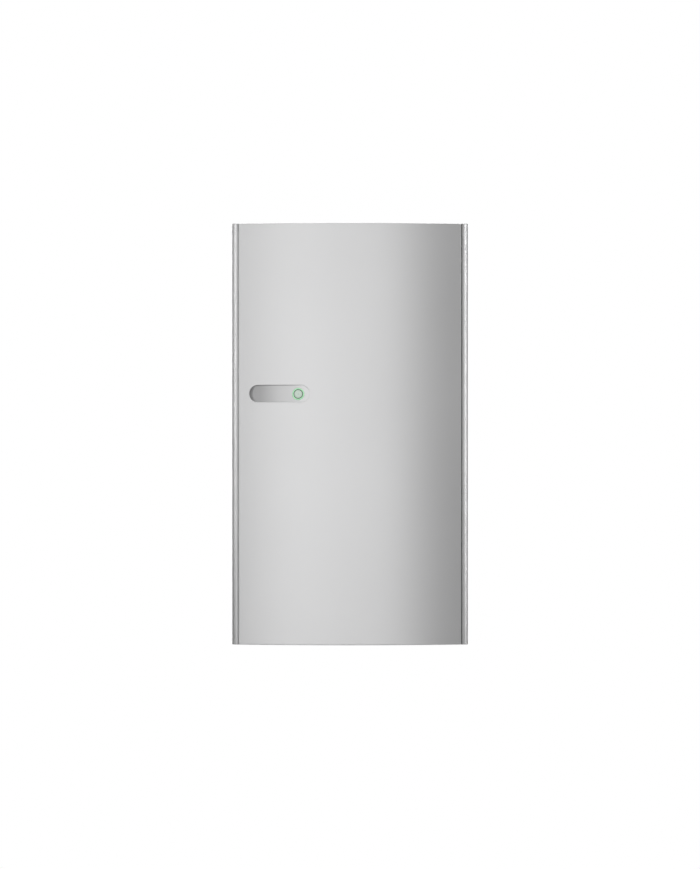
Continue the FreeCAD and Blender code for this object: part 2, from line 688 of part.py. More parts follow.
def make_microinverter(index, spot):
    """A cast box with cooling fins down its front and two feet at each end."""
    body = new_body("microinverter_%d_form" % index)
    back = S.carrier_front + 1
    wide = S.inverter_wide / 2
    tall = S.inverter_tall / 2
    feet = sketch(body, "feet", "XZ_Plane", back)
    rectangle(feet, spot[0] - wide, spot[0] + wide, spot[2] - tall, spot[2] + tall)
    pad(body, "foot_plate", feet, 4.0)
    case = sketch(body, "case_outline", "XZ_Plane", back)
    rectangle(case, spot[0] - wide, spot[0] + wide, spot[2] - tall + 12, spot[2] + tall - 12)
    pad(body, "case", case, S.inverter_deep)
    fillet(body, "case_corners", 4.0, outward)
    fins = sketch(body, "fin_outline", "XZ_Plane", back + S.inverter_deep)
    left = spot[0] - wide + 8
    rectangle(fins, left, left + S.fin_thick, spot[2] - tall + 18, spot[2] + tall - 18)
    fin = pad(body, "fin", fins, S.fin_tall)
    pattern(body, "fins", fin, fins, S.inverter_wide - 16 - S.fin_thick, S.fin_count)
    holes = [(spot[0] + x, 0, spot[2] + z) for x, z in ear_offsets()]
    drill("microinverter_%d" % index, body, holes, back + 4, 2.2, 4.0)


def make_microinverters():
    for index, spot in enumerate(inverter_places(), start=1):
        make_microinverter(index, spot)
    wide = S.inverter_wide / 2 - 4
    tall = S.inverter_tall / 2 - 14
    sheet = slab("thermal_sheet", (-wide, wide), (S.carrier_front, S.carrier_front + 1), (-tall, tall))
    copies("inverter_pads", sheet, inverter_places())
    foot_front = S.carrier_front + 5
    copies("inverter_screws", screw("inverter_screw", foot_front, 2.0, 9.0, 4.0, 3.0),
           inverter_screw_places())


def make_trunk_cables():
    """The battery's power cable, the grid cable and the link cable that joins the six inverters."""
    low = S.pack_high - S.pack_wall - 6
    high = S.box_low + S.box_wall + 6
    rod("battery_cable", (-S.trunk_x, -S.trunk_depth, low), "Z", S.cable_radius, high - low)
    start = S.bus_cable_z - 12
    rod("grid_cable", (S.trunk_x, -S.trunk_depth, start), "Z", S.cable_radius, high - start)
    reach = S.inverter_pitch + S.inverter_wide / 2 - 8
    rod("inverter_link_cable", (-reach, -S.bus_cable_depth, S.bus_cable_z), "X", S.cable_radius, reach * 2)
    make_plugs()
    make_glands()


def make_plugs():
    """Moulded plugs where the link cable meets each pair of inverters, and tees at the other two."""
    gap_low = S.inverter_low_z + S.inverter_tall / 2 - 12
    gap_high = S.inverter_high_z - S.inverter_tall / 2 + 12
    half = S.plug_half
    shell = S.cable_radius + S.plug_wall
    barrel = slab("plug_barrel", (-half, half), (S.bus_cable_depth - shell, S.bus_cable_depth + shell),
                  (gap_low, gap_high))
    bore = rod("plug_bore", (-half - 1, -S.bus_cable_depth, S.bus_cable_z), "X", S.cable_radius, half * 2 + 2)
    plug = cut("plug_whole", rounded("plug_round", barrel, 3.0, "Z"), bore)
    plugs = copies("link_plugs", plug, [(S.inverter_pitch * column, 0, 0) for column in (-1, 0, 1)])
    block = slab("tee_block", (-shell - 0.5, shell + 0.5),
                 (S.trunk_depth - shell, S.bus_cable_depth + shell + 0.5),
                 (S.bus_cable_z - half, S.bus_cable_z + half))
    trunk = rod("tee_trunk_bore", (0, -S.trunk_depth, S.bus_cable_z - half - 1), "Z",
                S.cable_radius, half * 2 + 2)
    tee = cut("tee_whole", rounded("tee_round", block, 2.0, "X"), bore, trunk)
    tees = copies("link_tees", tee, [(-S.trunk_x, 0, 0), (S.trunk_x, 0, 0)])
    group("cable_plugs", plugs, tees)


def gland(label, x, z):
    """A ring gland on an upright cable, standing on the wall whose top face is at z."""
    nut = doc.addObject("Part::Prism", label + "_nut")
    nut.Polygon = 6
    bind(nut, "Circumradius", S.cable_radius + S.gland_rim)
    bind(nut, "Height", S.gland_tall)
    place(nut, x, -S.trunk_depth, z, TURN_TO["Z"])
    bore = rod(label + "_bore", (x, -S.trunk_depth, z), "Z", S.cable_radius, S.gland_tall)
    return cut(label, nut, bore)


def make_glands():
    group("cable_glands", gland("gland_pack", -S.trunk_x, S.pack_high),
          gland("gland_box_left", -S.trunk_x, S.box_low - S.gland_tall),
          gland("gland_box_right", S.trunk_x, S.box_low - S.gland_tall))


def make_status_board():
    """The small board behind the cover's light pipe, on a waisted stand over the inverters' fins."""
    tips = S.carrier_front + 1 + S.inverter_deep + S.fin_tall
    wide = S.stand_half_wide
    tall = S.stand_half_tall
    seat = tips + S.stand_tall
    stand = slab("status_stand", (S.light_x - wide, S.light_x + wide), (tips, seat),
                 (S.light_z - tall, S.light_z + tall))
    waist = slab("status_waist", (S.light_x - wide + S.stand_side, S.light_x + wide - S.stand_side),
                 (tips + S.stand_frame, seat - S.stand_frame), (S.light_z - tall - 1, S.light_z + tall + 1))
    cut("status_board_stand", stand, waist)
    slab("status_board", (S.light_x - wide + 1, S.light_x + wide - 1), (seat, seat + S.board_thick),
         (S.light_z - tall + 1, S.light_z + tall - 1))
    rod("status_lamp", (S.light_x, -seat - S.board_thick, S.light_z), "Y", S.lamp_radius, S.lamp_tall)


def make_lifting_grips():
    """A strap handle on each side of the inverter carrier."""
    body = new_body("grip_form")
    profile = sketch(body, "profile", "XZ_Plane", S.grip_depth)
    inner = S.carrier_half
    outer = inner + S.grip_out
    strap = outer - S.grip_thick
    polygon(profile, [(inner, S.grip_low), (outer, S.grip_low), (outer, S.grip_high), (inner, S.grip_high),
                      (inner, S.grip_high - S.grip_end), (strap, S.grip_high - S.grip_end),
                      (strap, S.grip_low + S.grip_end), (inner, S.grip_low + S.grip_end)])
    pad(body, "bar", profile, S.grip_wide)
    near_outside = number(outer - S.grip_thick / 2)
    fillet(body, "corners", 2.0, lambda edge: outward(edge) and edge.BoundBox.XMin > near_outside)
    mirror = doc.addObject("Part::Mirroring", "grip_other_side")
    mirror.Source = body
    mirror.Normal = V(1, 0, 0)
    group("lifting_grips", body, mirror)


# ---------------------------------------------------------------- field wiring box and switch

def make_wiring_box():
    back = S.chassis_back + S.sheet_thick
    body = tray("wiring_casting", S.box_half, S.box_low, S.box_high, back, S.box_front, S.box_wall, 6.0)
    entries = rod("conduit_bit", (-S.box_half - 1, -S.conduit_depth, S.conduit_z), "X", S.conduit_radius,
                  S.box_half * 2 + 2)
    shaft = rod("shaft_bit", (S.box_half - S.box_wall - 1, -S.switch_depth, S.switch_z), "X",
                S.shaft_radius + S.shaft_gap, S.box_wall + 2)
    cables = [rod("cable_bit_%d" % side, (S.trunk_x * side, -S.trunk_depth, S.box_low - 1), "Z",
                  S.cable_radius + 1,
                  S.box_wall + 2) for side in (-1, 1)]
    opened = cut("wiring_casting_open", body, entries, shaft, *cables)
    places = rim_places(S.box_half, S.box_low, S.box_high, 5, 1)
    drill("wiring_box", opened, places, S.box_front, 2.0, 5.0)


def make_wiring_lid():
    rim_gasket("wiring_gasket", S.box_half, S.box_low, S.box_high, S.box_front, S.box_wall)
    seal = S.box_front + S.gasket_thick
    body = new_body("wiring_lid_form")
    outline = sketch(body, "outline", "XZ_Plane", seal)
    edge = S.rim_out
    rectangle(outline, -S.box_half - edge, S.box_half + edge, S.box_low - edge, S.box_high + edge)
    pad(body, "plate", outline, S.lid_thick)
    fillet(body, "corners", 6.0, outward)
    raised = sketch(body, "raised_outline", "XZ_Plane", seal + S.lid_thick)
    rectangle(raised, -S.box_half + 20, S.box_half - 20, S.box_low + 20, S.box_high - 20)
    pad(body, "raised", raised, 2.0)
    places = rim_places(S.box_half, S.box_low, S.box_high, 5, 1)
    front = seal + S.lid_thick
    drill("wiring_lid", body, places, front, 2.2, S.lid_thick)
    copies("wiring_screws", screw("wiring_screw", front, 1.9, 8.0, 2.9, 2.4), places)


def box_floor():
    return S.chassis_back + S.sheet_thick + S.box_wall


def cage_steps():
    """The X of each terminal cage."""
    return [S.cage_pitch * step for step in (-2, -1, 0, 1, 2)]


def make_terminals():
    """The grid terminal block: a row of cages, each with a wire mouth below and two clamp screws in front."""
    floor = box_floor()
    front = floor + S.terminal_tall
    body = new_body("terminal_form")
    block = sketch(body, "block_outline", "XZ_Plane", floor)
    rectangle(block, -S.terminal_half, S.terminal_half, S.terminal_low, S.terminal_high)
    pad(body, "block", block, S.terminal_tall)
    wells = sketch(body, "well_outline", "XZ_Plane", front)
    levels = (S.terminal_low + S.well_inset, S.terminal_high - S.well_inset)
    for z in levels:
        circle(wells, (-S.cage_pitch * 2, z), S.well_radius)
    well = pocket(body, "well", wells, S.well_deep)
    pattern(body, "wells", well, wells, S.cage_pitch * 4, 5)
    doc.recompute()
    mouths = [slab("mouth_%d" % step, (x - 8, x + 8), (floor + 8, floor + 22),
                   (S.terminal_low - 1, S.terminal_low + 3)) for step, x in enumerate(cage_steps())]
    cut("terminal_block", body, *mouths)
    clamp = rod("clamp_screw", (0, -front + S.well_deep, 0), "Y", S.clamp_radius, S.clamp_long)
    copies("terminal_clamps", clamp, [(x, 0, z) for x in cage_steps() for z in levels])


def make_ground_bar():
    """A brass bar of wire screws on two posts."""
    floor = box_floor()
    back = floor + S.ground_lift
    front = back + S.ground_thick
    middle = (S.ground_low + S.ground_high) / 2
    bar = slab("ground_blank", (S.ground_left, S.ground_right), (back, front), (S.ground_low, S.ground_high))
    bit = rod("ground_bit", (0, -back, 0), "Y", S.ground_bore, S.ground_thick)
    spots = [(S.ground_left + 8 + 12.5 * step, 0, middle) for step in range(7)]
    cut("ground_bar", bar, copies("ground_holes", bit, spots))
    head = screw("ground_screw", front, 2.0, 8.0, 4.0, 3.0)
    copies("ground_clamps", head, spots)
    post = rod("ground_post", (0, -floor, 0), "Y", 5.0, S.ground_lift)
    copies("ground_posts", post, [(S.ground_left + 14, 0, middle), (S.ground_right - 13, 0, middle)])


def make_control_board():
    """The low-voltage board: four posts, three plugs and two chips."""
    floor = box_floor()
    back = floor + S.control_lift
    front = back + S.board_thick
    slab("control_board", (S.control_left, S.control_right), (back, front), (S.control_low, S.control_high))
    post = rod("control_post", (0, -floor, 0), "Y", S.control_post, S.control_lift)
    copies("control_posts", post, [(x, 0, z) for x in (S.control_left + 5, S.control_right - 5)
                                   for z in (S.control_low + 5, S.control_high - 5)])
    plug = slab("control_plug", (-9, 9), (front, front + S.control_plug_tall), (-5, 5))
    copies("control_plugs", plug, [(S.control_left + x, 0, S.control_low + 9) for x in (20, 45, 70)])
    half = S.control_chip
    chip = slab("control_chip", (-half, half), (front, front + S.chip_tall), (-half, half))
    copies("control_chips", chip, [(S.control_left + x, 0, S.control_low + 31) for x in (25, 65)])


def make_conduit_plug():
    """The blanking plug in the left entry: a flange, a body through the wall and a nut inside."""
    x = -S.box_half
    flange = rod("plug_flange", (x - S.plug_flange_thick, -S.conduit_depth, S.conduit_z), "X", S.plug_flange,
                 S.plug_flange_thick)
    middle = rod("plug_middle", (x, -S.conduit_depth, S.conduit_z), "X", S.conduit_radius, S.box_wall)
    nut = rod("plug_nut", (x + S.box_wall, -S.conduit_depth, S.conduit_z), "X", S.plug_nut, S.plug_nut_thick)
    fuse("conduit_plug", flange, middle, nut)


def make_switch():
    """The disconnect switch: its body inside the box, its plate outside, and the handle on its shaft."""
    wall = S.box_half - S.box_wall
    half = S.switch_half
    depth = (S.switch_depth - half, S.switch_depth + half)
    level = (S.switch_z - half, S.switch_z + half)
    case = slab("switch_case_block", (wall - S.switch_case, wall), depth, level)
    bore = rod("switch_bore", (wall - S.shaft_reach - 2, -S.switch_depth, S.switch_z), "X",
               S.shaft_radius + S.shaft_gap, S.shaft_reach + 2)
    cut("switch_body", rounded("switch_case_round", case, 3.0, "X"), bore)
    face = slab("switch_plate_block", (S.box_half, S.box_half + S.switch_face), depth, level)
    clear = rod("switch_plate_hole", (S.box_half, -S.switch_depth, S.switch_z), "X", S.shaft_radius + 0.5,
                S.switch_face)
    cut("switch_plate", rounded("switch_plate_round", face, 4.0, "X"), clear)
    make_switch_handle(wall)


def make_switch_handle(wall):
    """A grip bar on a round hub, with the shaft that runs into the switch."""
    hub_start = S.box_half + S.switch_face + 0.5
    shaft = rod("handle_shaft", (wall - S.shaft_reach, -S.switch_depth, S.switch_z), "X", S.shaft_radius,
                S.box_wall + S.shaft_reach + S.bar_start)
    hub = rod("handle_hub", (hub_start, -S.switch_depth, S.switch_z), "X", S.hub_radius, S.hub_thick)
    bar = slab("handle_bar", (hub_start + S.bar_start, hub_start + S.bar_start + S.bar_tall),
               (S.switch_depth - S.bar_half_wide, S.switch_depth + S.bar_half_wide),
               (S.switch_z - S.bar_half_long, S.switch_z + S.bar_half_long))
    fuse("switch_handle", shaft, hub, rounded("handle_bar_round", bar, 4.0, "X"))


# ---------------------------------------------------------------- front cover

def cover_outline(drawing, half, back, deep, face_radius, nose_radius):
    """A closed outline seen from above: straight sides, round noses and a bowed face, all tangent."""
    middle = face_radius - deep
    nose_x = half - nose_radius
    reach = root((face_radius - nose_radius) * (face_radius - nose_radius) - nose_x * nose_x)
    nose_y = middle - reach
    share = number(face_radius) / (number(face_radius) - number(nose_radius))
    touch = V(number(nose_x) * share, number(middle) - number(reach) * share, 0)
    crest = V(0, -number(deep), 0)
    side_low = V(number(half), number(back), 0)
    side_high = V(number(half), number(nose_y), 0)
    bend = V(number(nose_x), number(nose_y), 0)
    knee = bend + (touch - bend + side_high - bend).normalize() * number(nose_radius)
    flip = FreeCAD.Matrix(-1, 0, 0, 0)
    mirrored = [flip.multVec(point) for point in (side_low, side_high, knee, touch)]
    drawing.addGeometry(Part.LineSegment(mirrored[0], mirrored[1]), False)
    drawing.addGeometry(Part.Arc(mirrored[1], mirrored[2], mirrored[3]), False)
    drawing.addGeometry(Part.Arc(mirrored[3], crest, touch), False)
    drawing.addGeometry(Part.Arc(touch, knee, side_high), False)
    drawing.addGeometry(Part.LineSegment(side_high, side_low), False)
    drawing.addGeometry(Part.LineSegment(side_low, mirrored[0]), False)
    hold_cover_outline(drawing, half, back, middle, face_radius, nose_radius)


def hold_cover_outline(drawing, half, back, middle, face_radius, nose_radius):
    ends = joint_ends(drawing)
    for one, two in ((0, 1), (1, 2), (2, 3), (3, 4)):
        first, second = ends[(one, two)]
        drawing.addConstraint(Sketcher.Constraint("Tangent", one, first, two, second))
    for one, two in ((4, 5), (5, 0)):
        first, second = ends[(one, two)]
        drawing.addConstraint(Sketcher.Constraint("Coincident", one, first, two, second))
    pin_point(drawing, 0, 1, (-half, back))
    pin_point(drawing, 5, 1, (half, back))
    drawing.addConstraint(Sketcher.Constraint("Vertical", 0))
    drawing.addConstraint(Sketcher.Constraint("Vertical", 4))
    drawing.addConstraint(Sketcher.Constraint("PointOnObject", 2, 3, -2))
    for kind, index, size in (("Radius", 1, nose_radius), ("Radius", 3, nose_radius),
                              ("Radius", 2, face_radius)):
        held = drawing.addConstraint(Sketcher.Constraint(kind, index, number(size)))
        drawing.setExpression("Constraints[%d]" % held, size.text)
    held = drawing.addConstraint(Sketcher.Constraint("DistanceY", -1, 1, 2, 3, number(middle)))
    drawing.setExpression("Constraints[%d]" % held, middle.text)


def joint_ends(drawing):
    """For each pair of neighbours in a closed outline, which end of each one touches the other."""
    count = drawing.GeometryCount
    pairs = {}
    for one in range(count):
        two = (one + 1) % count
        for first in (1, 2):
            for second in (1, 2):
                if drawing.getPoint(one, first).distanceToPoint(drawing.getPoint(two, second)) < 1e-3:
                    pairs[(one, two)] = (first, second)
    return pairs


def cover_block(label, margin, back, tall):
    """The cover's outer form, or the same form smaller all round by a margin."""
    body = new_body(label)
    drawing = sketch(body, "outline", "XY_Plane", -tall / 2)
    cover_outline(drawing, S.cover_wide / 2 - margin, back, S.cover_deep - margin, S.face_radius - margin,
                  S.nose_radius - margin)
    pad(body, "block", drawing, tall)
    return body


def face_y(x):
    """The outer face's Y at an X."""
    middle = S.face_radius - S.cover_deep
    return middle - root(S.face_radius * S.face_radius - x * x)


def floor_centre():
    """The centre of the recess floor's arc. At the recess's right end the floor runs level with the face, a lip
    below it."""
    end_x = S.recess_mid_x + S.recess_long / 2
    share = S.recess_floor_radius / S.face_radius
    middle = S.face_radius - S.cover_deep
    end_y = face_y(end_x)
    return end_x - end_x * share, end_y + (middle - end_y) * share + S.recess_lip


def scoop(label, margin):
    """The recess as a solid: a round-ended outline in front of the curved floor, grown by a margin."""
    body = new_body(label + "_pill")
    outline = sketch(body, "outline", "XZ_Plane", S.cover_deep / 2)
    slot(outline, (S.recess_mid_x, S.recess_mid_z), S.recess_long + margin * 2, S.recess_tall / 2 + margin)
    pad(body, "block", outline, S.cover_deep)
    centre = floor_centre()
    reach = S.recess_tall + margin * 2
    floor = rod(label + "_floor", (centre[0], centre[1], S.recess_mid_z - reach), "Z",
                S.recess_floor_radius - margin, reach * 2)
    return cut(label, body, floor)


def floor_tilt():
    """The recess floor's lean at the status light, in radians about Z."""
    centre = floor_centre()
    return math.asin((number(centre[0]) - number(S.light_x)) / number(S.recess_floor_radius))


def floor_point():
    """The point of the recess floor where the status light's axis meets it."""
    centre = floor_centre()
    side = centre[0] - S.light_x
    return S.light_x, centre[1] - root(S.recess_floor_radius * S.recess_floor_radius - side * side), S.light_z


def on_light_axis(label, radius, start, length):
    """A cylinder on the status light's leaning axis. start is measured outwards from the recess floor."""
    tilt = floor_tilt()
    spot = floor_point()
    bar = doc.addObject("Part::Cylinder", label)
    bind(bar, "Radius", radius)
    bind(bar, "Height", length)
    turn = FreeCAD.Rotation(V(0, 0, 1), -math.degrees(tilt)).multiply(TURN_TO["Y"])
    place(bar, spot[0] - start * math.sin(tilt), spot[1] - start * math.cos(tilt), spot[2], turn)
    return bar


def crease_tool(side):
    """A round cutter that runs the whole height of the cover between its face and one of its noses."""
    x = (S.cover_wide / 2 - S.crease_inset) * side
    middle = S.face_radius - S.cover_deep
    y = face_y(x)
    lean_x = x / S.face_radius
    lean_y = (y - middle) / S.face_radius
    return rod("crease_cutter_%s" % ("left" if side < 0 else "right"),
               (x + lean_x * S.crease_lift, y + lean_y * S.crease_lift, -S.cover_tall / 2 - 5), "Z",
               S.crease_radius, S.cover_tall + 10)


def vent_tool():
    body = new_body("vent_cutter")
    drawing = sketch(body, "slot", "XY_Plane", -S.cover_tall / 2 - 5)
    left = -S.vent_pitch * (S.vent_count - 1) / 2
    slot(drawing, (left, -S.vent_depth), S.vent_long, S.vent_wide / 2, upright=True)
    blade = pad(body, "blade", drawing, S.cover_tall + 10)
    pattern(body, "blades", blade, drawing, S.vent_pitch * (S.vent_count - 1), S.vent_count)
    return body


def notch_block(label, x, half):
    """A conduit notch open to the rear, as a solid between two X places."""
    end = rod(label + "_round", (x[0], -S.conduit_depth, S.conduit_z), "X", half, x[1] - x[0])
    slot_part = slab(label + "_slot", x, (S.cover_back, S.conduit_depth),
                     (S.conduit_z - half, S.conduit_z + half))
    return fuse(label, end, slot_part)


def make_cover_shell():
    outside = cover_block("cover_outside", 0, -S.cover_back, S.cover_tall)
    end = SIZES["cover_tall"] / 2
    rear = -SIZES["cover_back"] - 0.01
    fillet(outside, "edges", S.edge_round,
           lambda edge: edge.BoundBox.ZLength < 0.01 and abs(abs(edge.BoundBox.ZMin) - end) < 0.01
           and edge.BoundBox.YMin < rear)
    inside = cover_block("cover_inside", S.cover_wall, -S.cover_back + 6, S.cover_tall - S.cover_wall * 2)
    hollow = cut("cover_hollow", outside, inside)
    pod = common("cover_recess_back", outside, scoop("recess_back", S.cover_wall))
    walled = fuse("cover_walled", hollow, pod)
    half = S.cover_wide / 2
    window = slab("switch_window", (half - S.cover_wall - 2, half + 2),
                  (S.switch_depth - S.window_half, S.switch_depth + S.window_half),
                  (S.switch_z - S.window_half, S.switch_z + S.window_half))
    soft_window = rounded("switch_window_round", window, 5.0, "X")
    across = notch_block("notch_cutter", (-half - 2, half + 2), S.notch_half)
    light = on_light_axis("light_hole", S.light_radius + 0.1, -30.0, 40.0)
    tools = [scoop("recess_cutter", 0), crease_tool(-1), crease_tool(1), vent_tool(),
             soft_window, across, light]
    cut("cover_shell", walled, fuse("cover_cutters", *tools))


def make_notch_filler():
    half = S.cover_wide / 2
    notch_block("notch_filler", (-half, -half + S.cover_wall), S.notch_half)


def make_cover_sockets():
    """Moulded sockets on the cover's top and bottom walls that push onto the base unit's studs."""
    near = S.stud_tip - 22
    far = S.stud_tip + 4
    wall_z = S.cover_tall / 2 - S.cover_wall
    inner_z = S.stud_z - S.stud_radius - 4
    sockets = []
    for name, level in (("low", -1), ("high", 1)):
        edges = (inner_z, wall_z) if level > 0 else (-wall_z, -inner_z)
        block = slab("socket_block_" + name, (-10, 10), (near, far), edges)
        bore = rod("socket_bore_" + name, (0, -near, S.stud_z * level), "Y", S.stud_radius + S.stud_gap,
                   S.stud_tip - near + 1)
        socket = cut("socket_" + name, block, bore)
        places = [(S.stud_spread * side, 0, 0) for side in (-1, 0, 1)]
        sockets.append(copies("sockets_" + name, socket, places))
    group("cover_sockets", *sockets)


def make_status_light():
    out = S.light_stand_out
    ring = on_light_axis("light_ring_blank", S.light_radius, -S.light_thick, S.light_thick + out)
    ring_bore = on_light_axis("light_ring_bore", S.light_gap_radius, -S.light_thick - 1, S.light_thick + 3)
    cut("status_light_ring", ring, ring_bore)
    seal = on_light_axis("light_seal_blank", S.light_gap_radius, -S.light_thick, S.light_thick - 0.4)
    seal_bore = on_light_axis("light_seal_bore", S.light_disc_radius, -S.light_thick - 1, S.light_thick + 3)
    cut("status_light_seal", seal, seal_bore)
    on_light_axis("status_light_disc", S.light_disc_radius, -S.light_thick, S.light_thick + out * 0.5)
    barrel = on_light_axis("light_pipe_barrel", S.light_radius - 1, -S.light_thick - 28, 28.0)
    flange = on_light_axis("light_pipe_flange", S.light_radius + 4, -S.light_thick - 2.4, 2.0)
    fuse("light_pipe", barrel, flange)


# ---------------------------------------------------------------- document and files

SHARED_NODES = {
    "thermal_pads": ("pack_pad", "inverter_pads"),
    "lid_screws": ("pack_screws", "wiring_screws"),
    "board_standoffs": ("battery_posts", "control_posts", "ground_posts"),
    "board_chips": ("battery_chips", "control_chips"),
    "wire_clamp_screws": ("terminal_clamps", "ground_clamps"),
}
NODES = [
    "wall_bracket", "hang_hooks", "bracket_lock_screws", "chassis", "cover_studs",
    "pack_housing", "battery_cells", "cell_terminals", "cell_spacers", "end_plates", "tie_straps",
    "cell_holder_plate", "busbars", "battery_board", "main_contactor", "main_fuse", "pack_gasket", "pack_lid",
    "breather_vent", "thermal_pads", "lid_screws", "board_standoffs", "board_chips",
    "inverter_carrier", "microinverter_1", "microinverter_2", "microinverter_3", "microinverter_4",
    "microinverter_5", "microinverter_6", "inverter_screws", "battery_cable", "grid_cable",
    "inverter_link_cable", "cable_plugs", "cable_glands", "status_board_stand", "status_board", "status_lamp",
    "lifting_grips", "wiring_box", "wiring_gasket", "wiring_lid", "terminal_block", "wire_clamp_screws",
    "ground_bar", "control_board", "control_plugs", "conduit_plug", "switch_body", "switch_plate",
    "switch_handle", "cover_shell", "notch_filler", "cover_sockets", "status_light_ring", "status_light_seal",
    "status_light_disc", "light_pipe",
]


def make_everything():
    make_wall_bracket()
    make_hang_hooks()
    make_lock_screws()
    make_chassis()
    make_cover_studs()
    make_pack_housing()
    make_cells()
    make_stack_frame()
    make_busbars()
    make_cell_carrier()
    make_pack_electronics()
    make_pack_lid()
    make_inverter_carrier()
    make_microinverters()
    make_trunk_cables()
    make_status_board()
    make_lifting_grips()
    make_wiring_box()
    make_wiring_lid()
    make_terminals()
    make_ground_bar()
    make_control_board()
    make_conduit_plug()
    make_switch()
    make_cover_shell()
    make_notch_filler()
    make_cover_sockets()
    make_status_light()
    for label, names in SHARED_NODES.items():
        group(label, *[doc.getObjectsByLabel(name)[0] for name in names])
    doc.recompute()


def check_states():
    for thing in doc.Objects:
        if any(state in thing.State for state in BAD_STATES):
            raise RuntimeError("%s failed: %s" % (thing.Label, thing.State))


def write_nodes():
    os.makedirs("parts", exist_ok=True)
    for name in NODES:
        shape = doc.getObjectsByLabel(name)[0].Shape
        if shape.isNull() or not shape.isValid() or shape.Volume <= 0:
            raise RuntimeError("%s has no valid shape" % name)
        shape.exportStep("parts/%s.step" % name)
        print("%-24s %3d solids %12.1f mm3" % (name, len(shape.Solids), shape.Volume))


doc = FreeCAD.newDocument("wall_battery_unit")
fill_sheet()
make_everything()
check_states()
write_nodes()
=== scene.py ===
"""The looks of a wall battery unit: finishes, bowed cover, castings, screws, fins, lights and camera."""

import json
import math

import bmesh
import bpy
from mathutils import Matrix, Vector
from mathutils.geometry import delaunay_2d_cdt


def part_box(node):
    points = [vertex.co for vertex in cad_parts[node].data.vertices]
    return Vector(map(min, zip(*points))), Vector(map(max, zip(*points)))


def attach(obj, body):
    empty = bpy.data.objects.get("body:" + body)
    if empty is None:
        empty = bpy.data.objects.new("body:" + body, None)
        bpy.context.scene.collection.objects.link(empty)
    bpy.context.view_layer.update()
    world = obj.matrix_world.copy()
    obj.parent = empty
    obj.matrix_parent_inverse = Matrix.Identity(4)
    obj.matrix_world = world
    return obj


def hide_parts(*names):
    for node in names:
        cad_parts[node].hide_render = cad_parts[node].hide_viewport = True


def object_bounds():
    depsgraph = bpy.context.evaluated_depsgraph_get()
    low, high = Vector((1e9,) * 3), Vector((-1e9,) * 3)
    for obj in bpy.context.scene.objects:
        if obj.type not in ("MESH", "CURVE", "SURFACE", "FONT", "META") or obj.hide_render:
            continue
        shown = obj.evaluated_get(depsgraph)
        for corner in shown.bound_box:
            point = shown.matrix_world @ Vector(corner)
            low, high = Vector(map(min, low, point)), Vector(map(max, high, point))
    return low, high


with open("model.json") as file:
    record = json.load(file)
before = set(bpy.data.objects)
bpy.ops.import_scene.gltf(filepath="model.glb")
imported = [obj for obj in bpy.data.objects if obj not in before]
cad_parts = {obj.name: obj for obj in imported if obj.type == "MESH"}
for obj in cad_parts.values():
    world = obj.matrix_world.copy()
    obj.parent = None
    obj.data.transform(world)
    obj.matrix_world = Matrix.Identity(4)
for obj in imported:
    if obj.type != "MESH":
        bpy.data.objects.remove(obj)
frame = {"nodes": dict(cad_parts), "record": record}
CAD_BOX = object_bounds()
NODES = frame["nodes"]
MM = 0.001


# ---------------------------------------------------------------- shader maths

class Wire:
    """An output socket that takes part in arithmetic; each operator adds a Math node to its graph."""

    def __init__(self, graph, socket):
        self.graph = graph
        self.socket = socket

    def maths(self, operation, *operands):
        return self.graph.node("ShaderNodeMath", {"operation": operation}, dict(enumerate(operands)))

    def __add__(self, other):
        return self.maths("ADD", self, other)

    def __radd__(self, other):
        return self.maths("ADD", other, self)

    def __sub__(self, other):
        return self.maths("SUBTRACT", self, other)

    def __rsub__(self, other):
        return self.maths("SUBTRACT", other, self)

    def __mul__(self, other):
        return self.maths("MULTIPLY", self, other)

    def __rmul__(self, other):
        return self.maths("MULTIPLY", other, self)

    def __truediv__(self, other):
        return self.maths("DIVIDE", self, other)

    def __pow__(self, other):
        return self.maths("POWER", self, other)

    def root(self):
        return self.maths("SQRT", self)

    def size(self):
        return self.maths("ABSOLUTE", self)

    def clamped(self, low=0.0, high=1.0):
        return self.maths("MAXIMUM", self.maths("MINIMUM", self, high), low)


class Graph:
    """A node tree that is filled one node at a time."""

    def __init__(self, tree):
        self.tree = tree

    def node(self, kind, settings=None, inputs=None, output=0):
        """Any node: its type, its settings, then the values or links of its sockets, by name or number."""
        made = self.tree.nodes.new(kind)
        for name, value in (settings or {}).items():
            setattr(made, name, value)
        for name, value in (inputs or {}).items():
            for part in value if isinstance(value, list) else [value]:
                if isinstance(part, Wire):
                    self.tree.links.new(part.socket, made.inputs[name])
                else:
                    made.inputs[name].default_value = part
        return Wire(self, made.outputs[output])


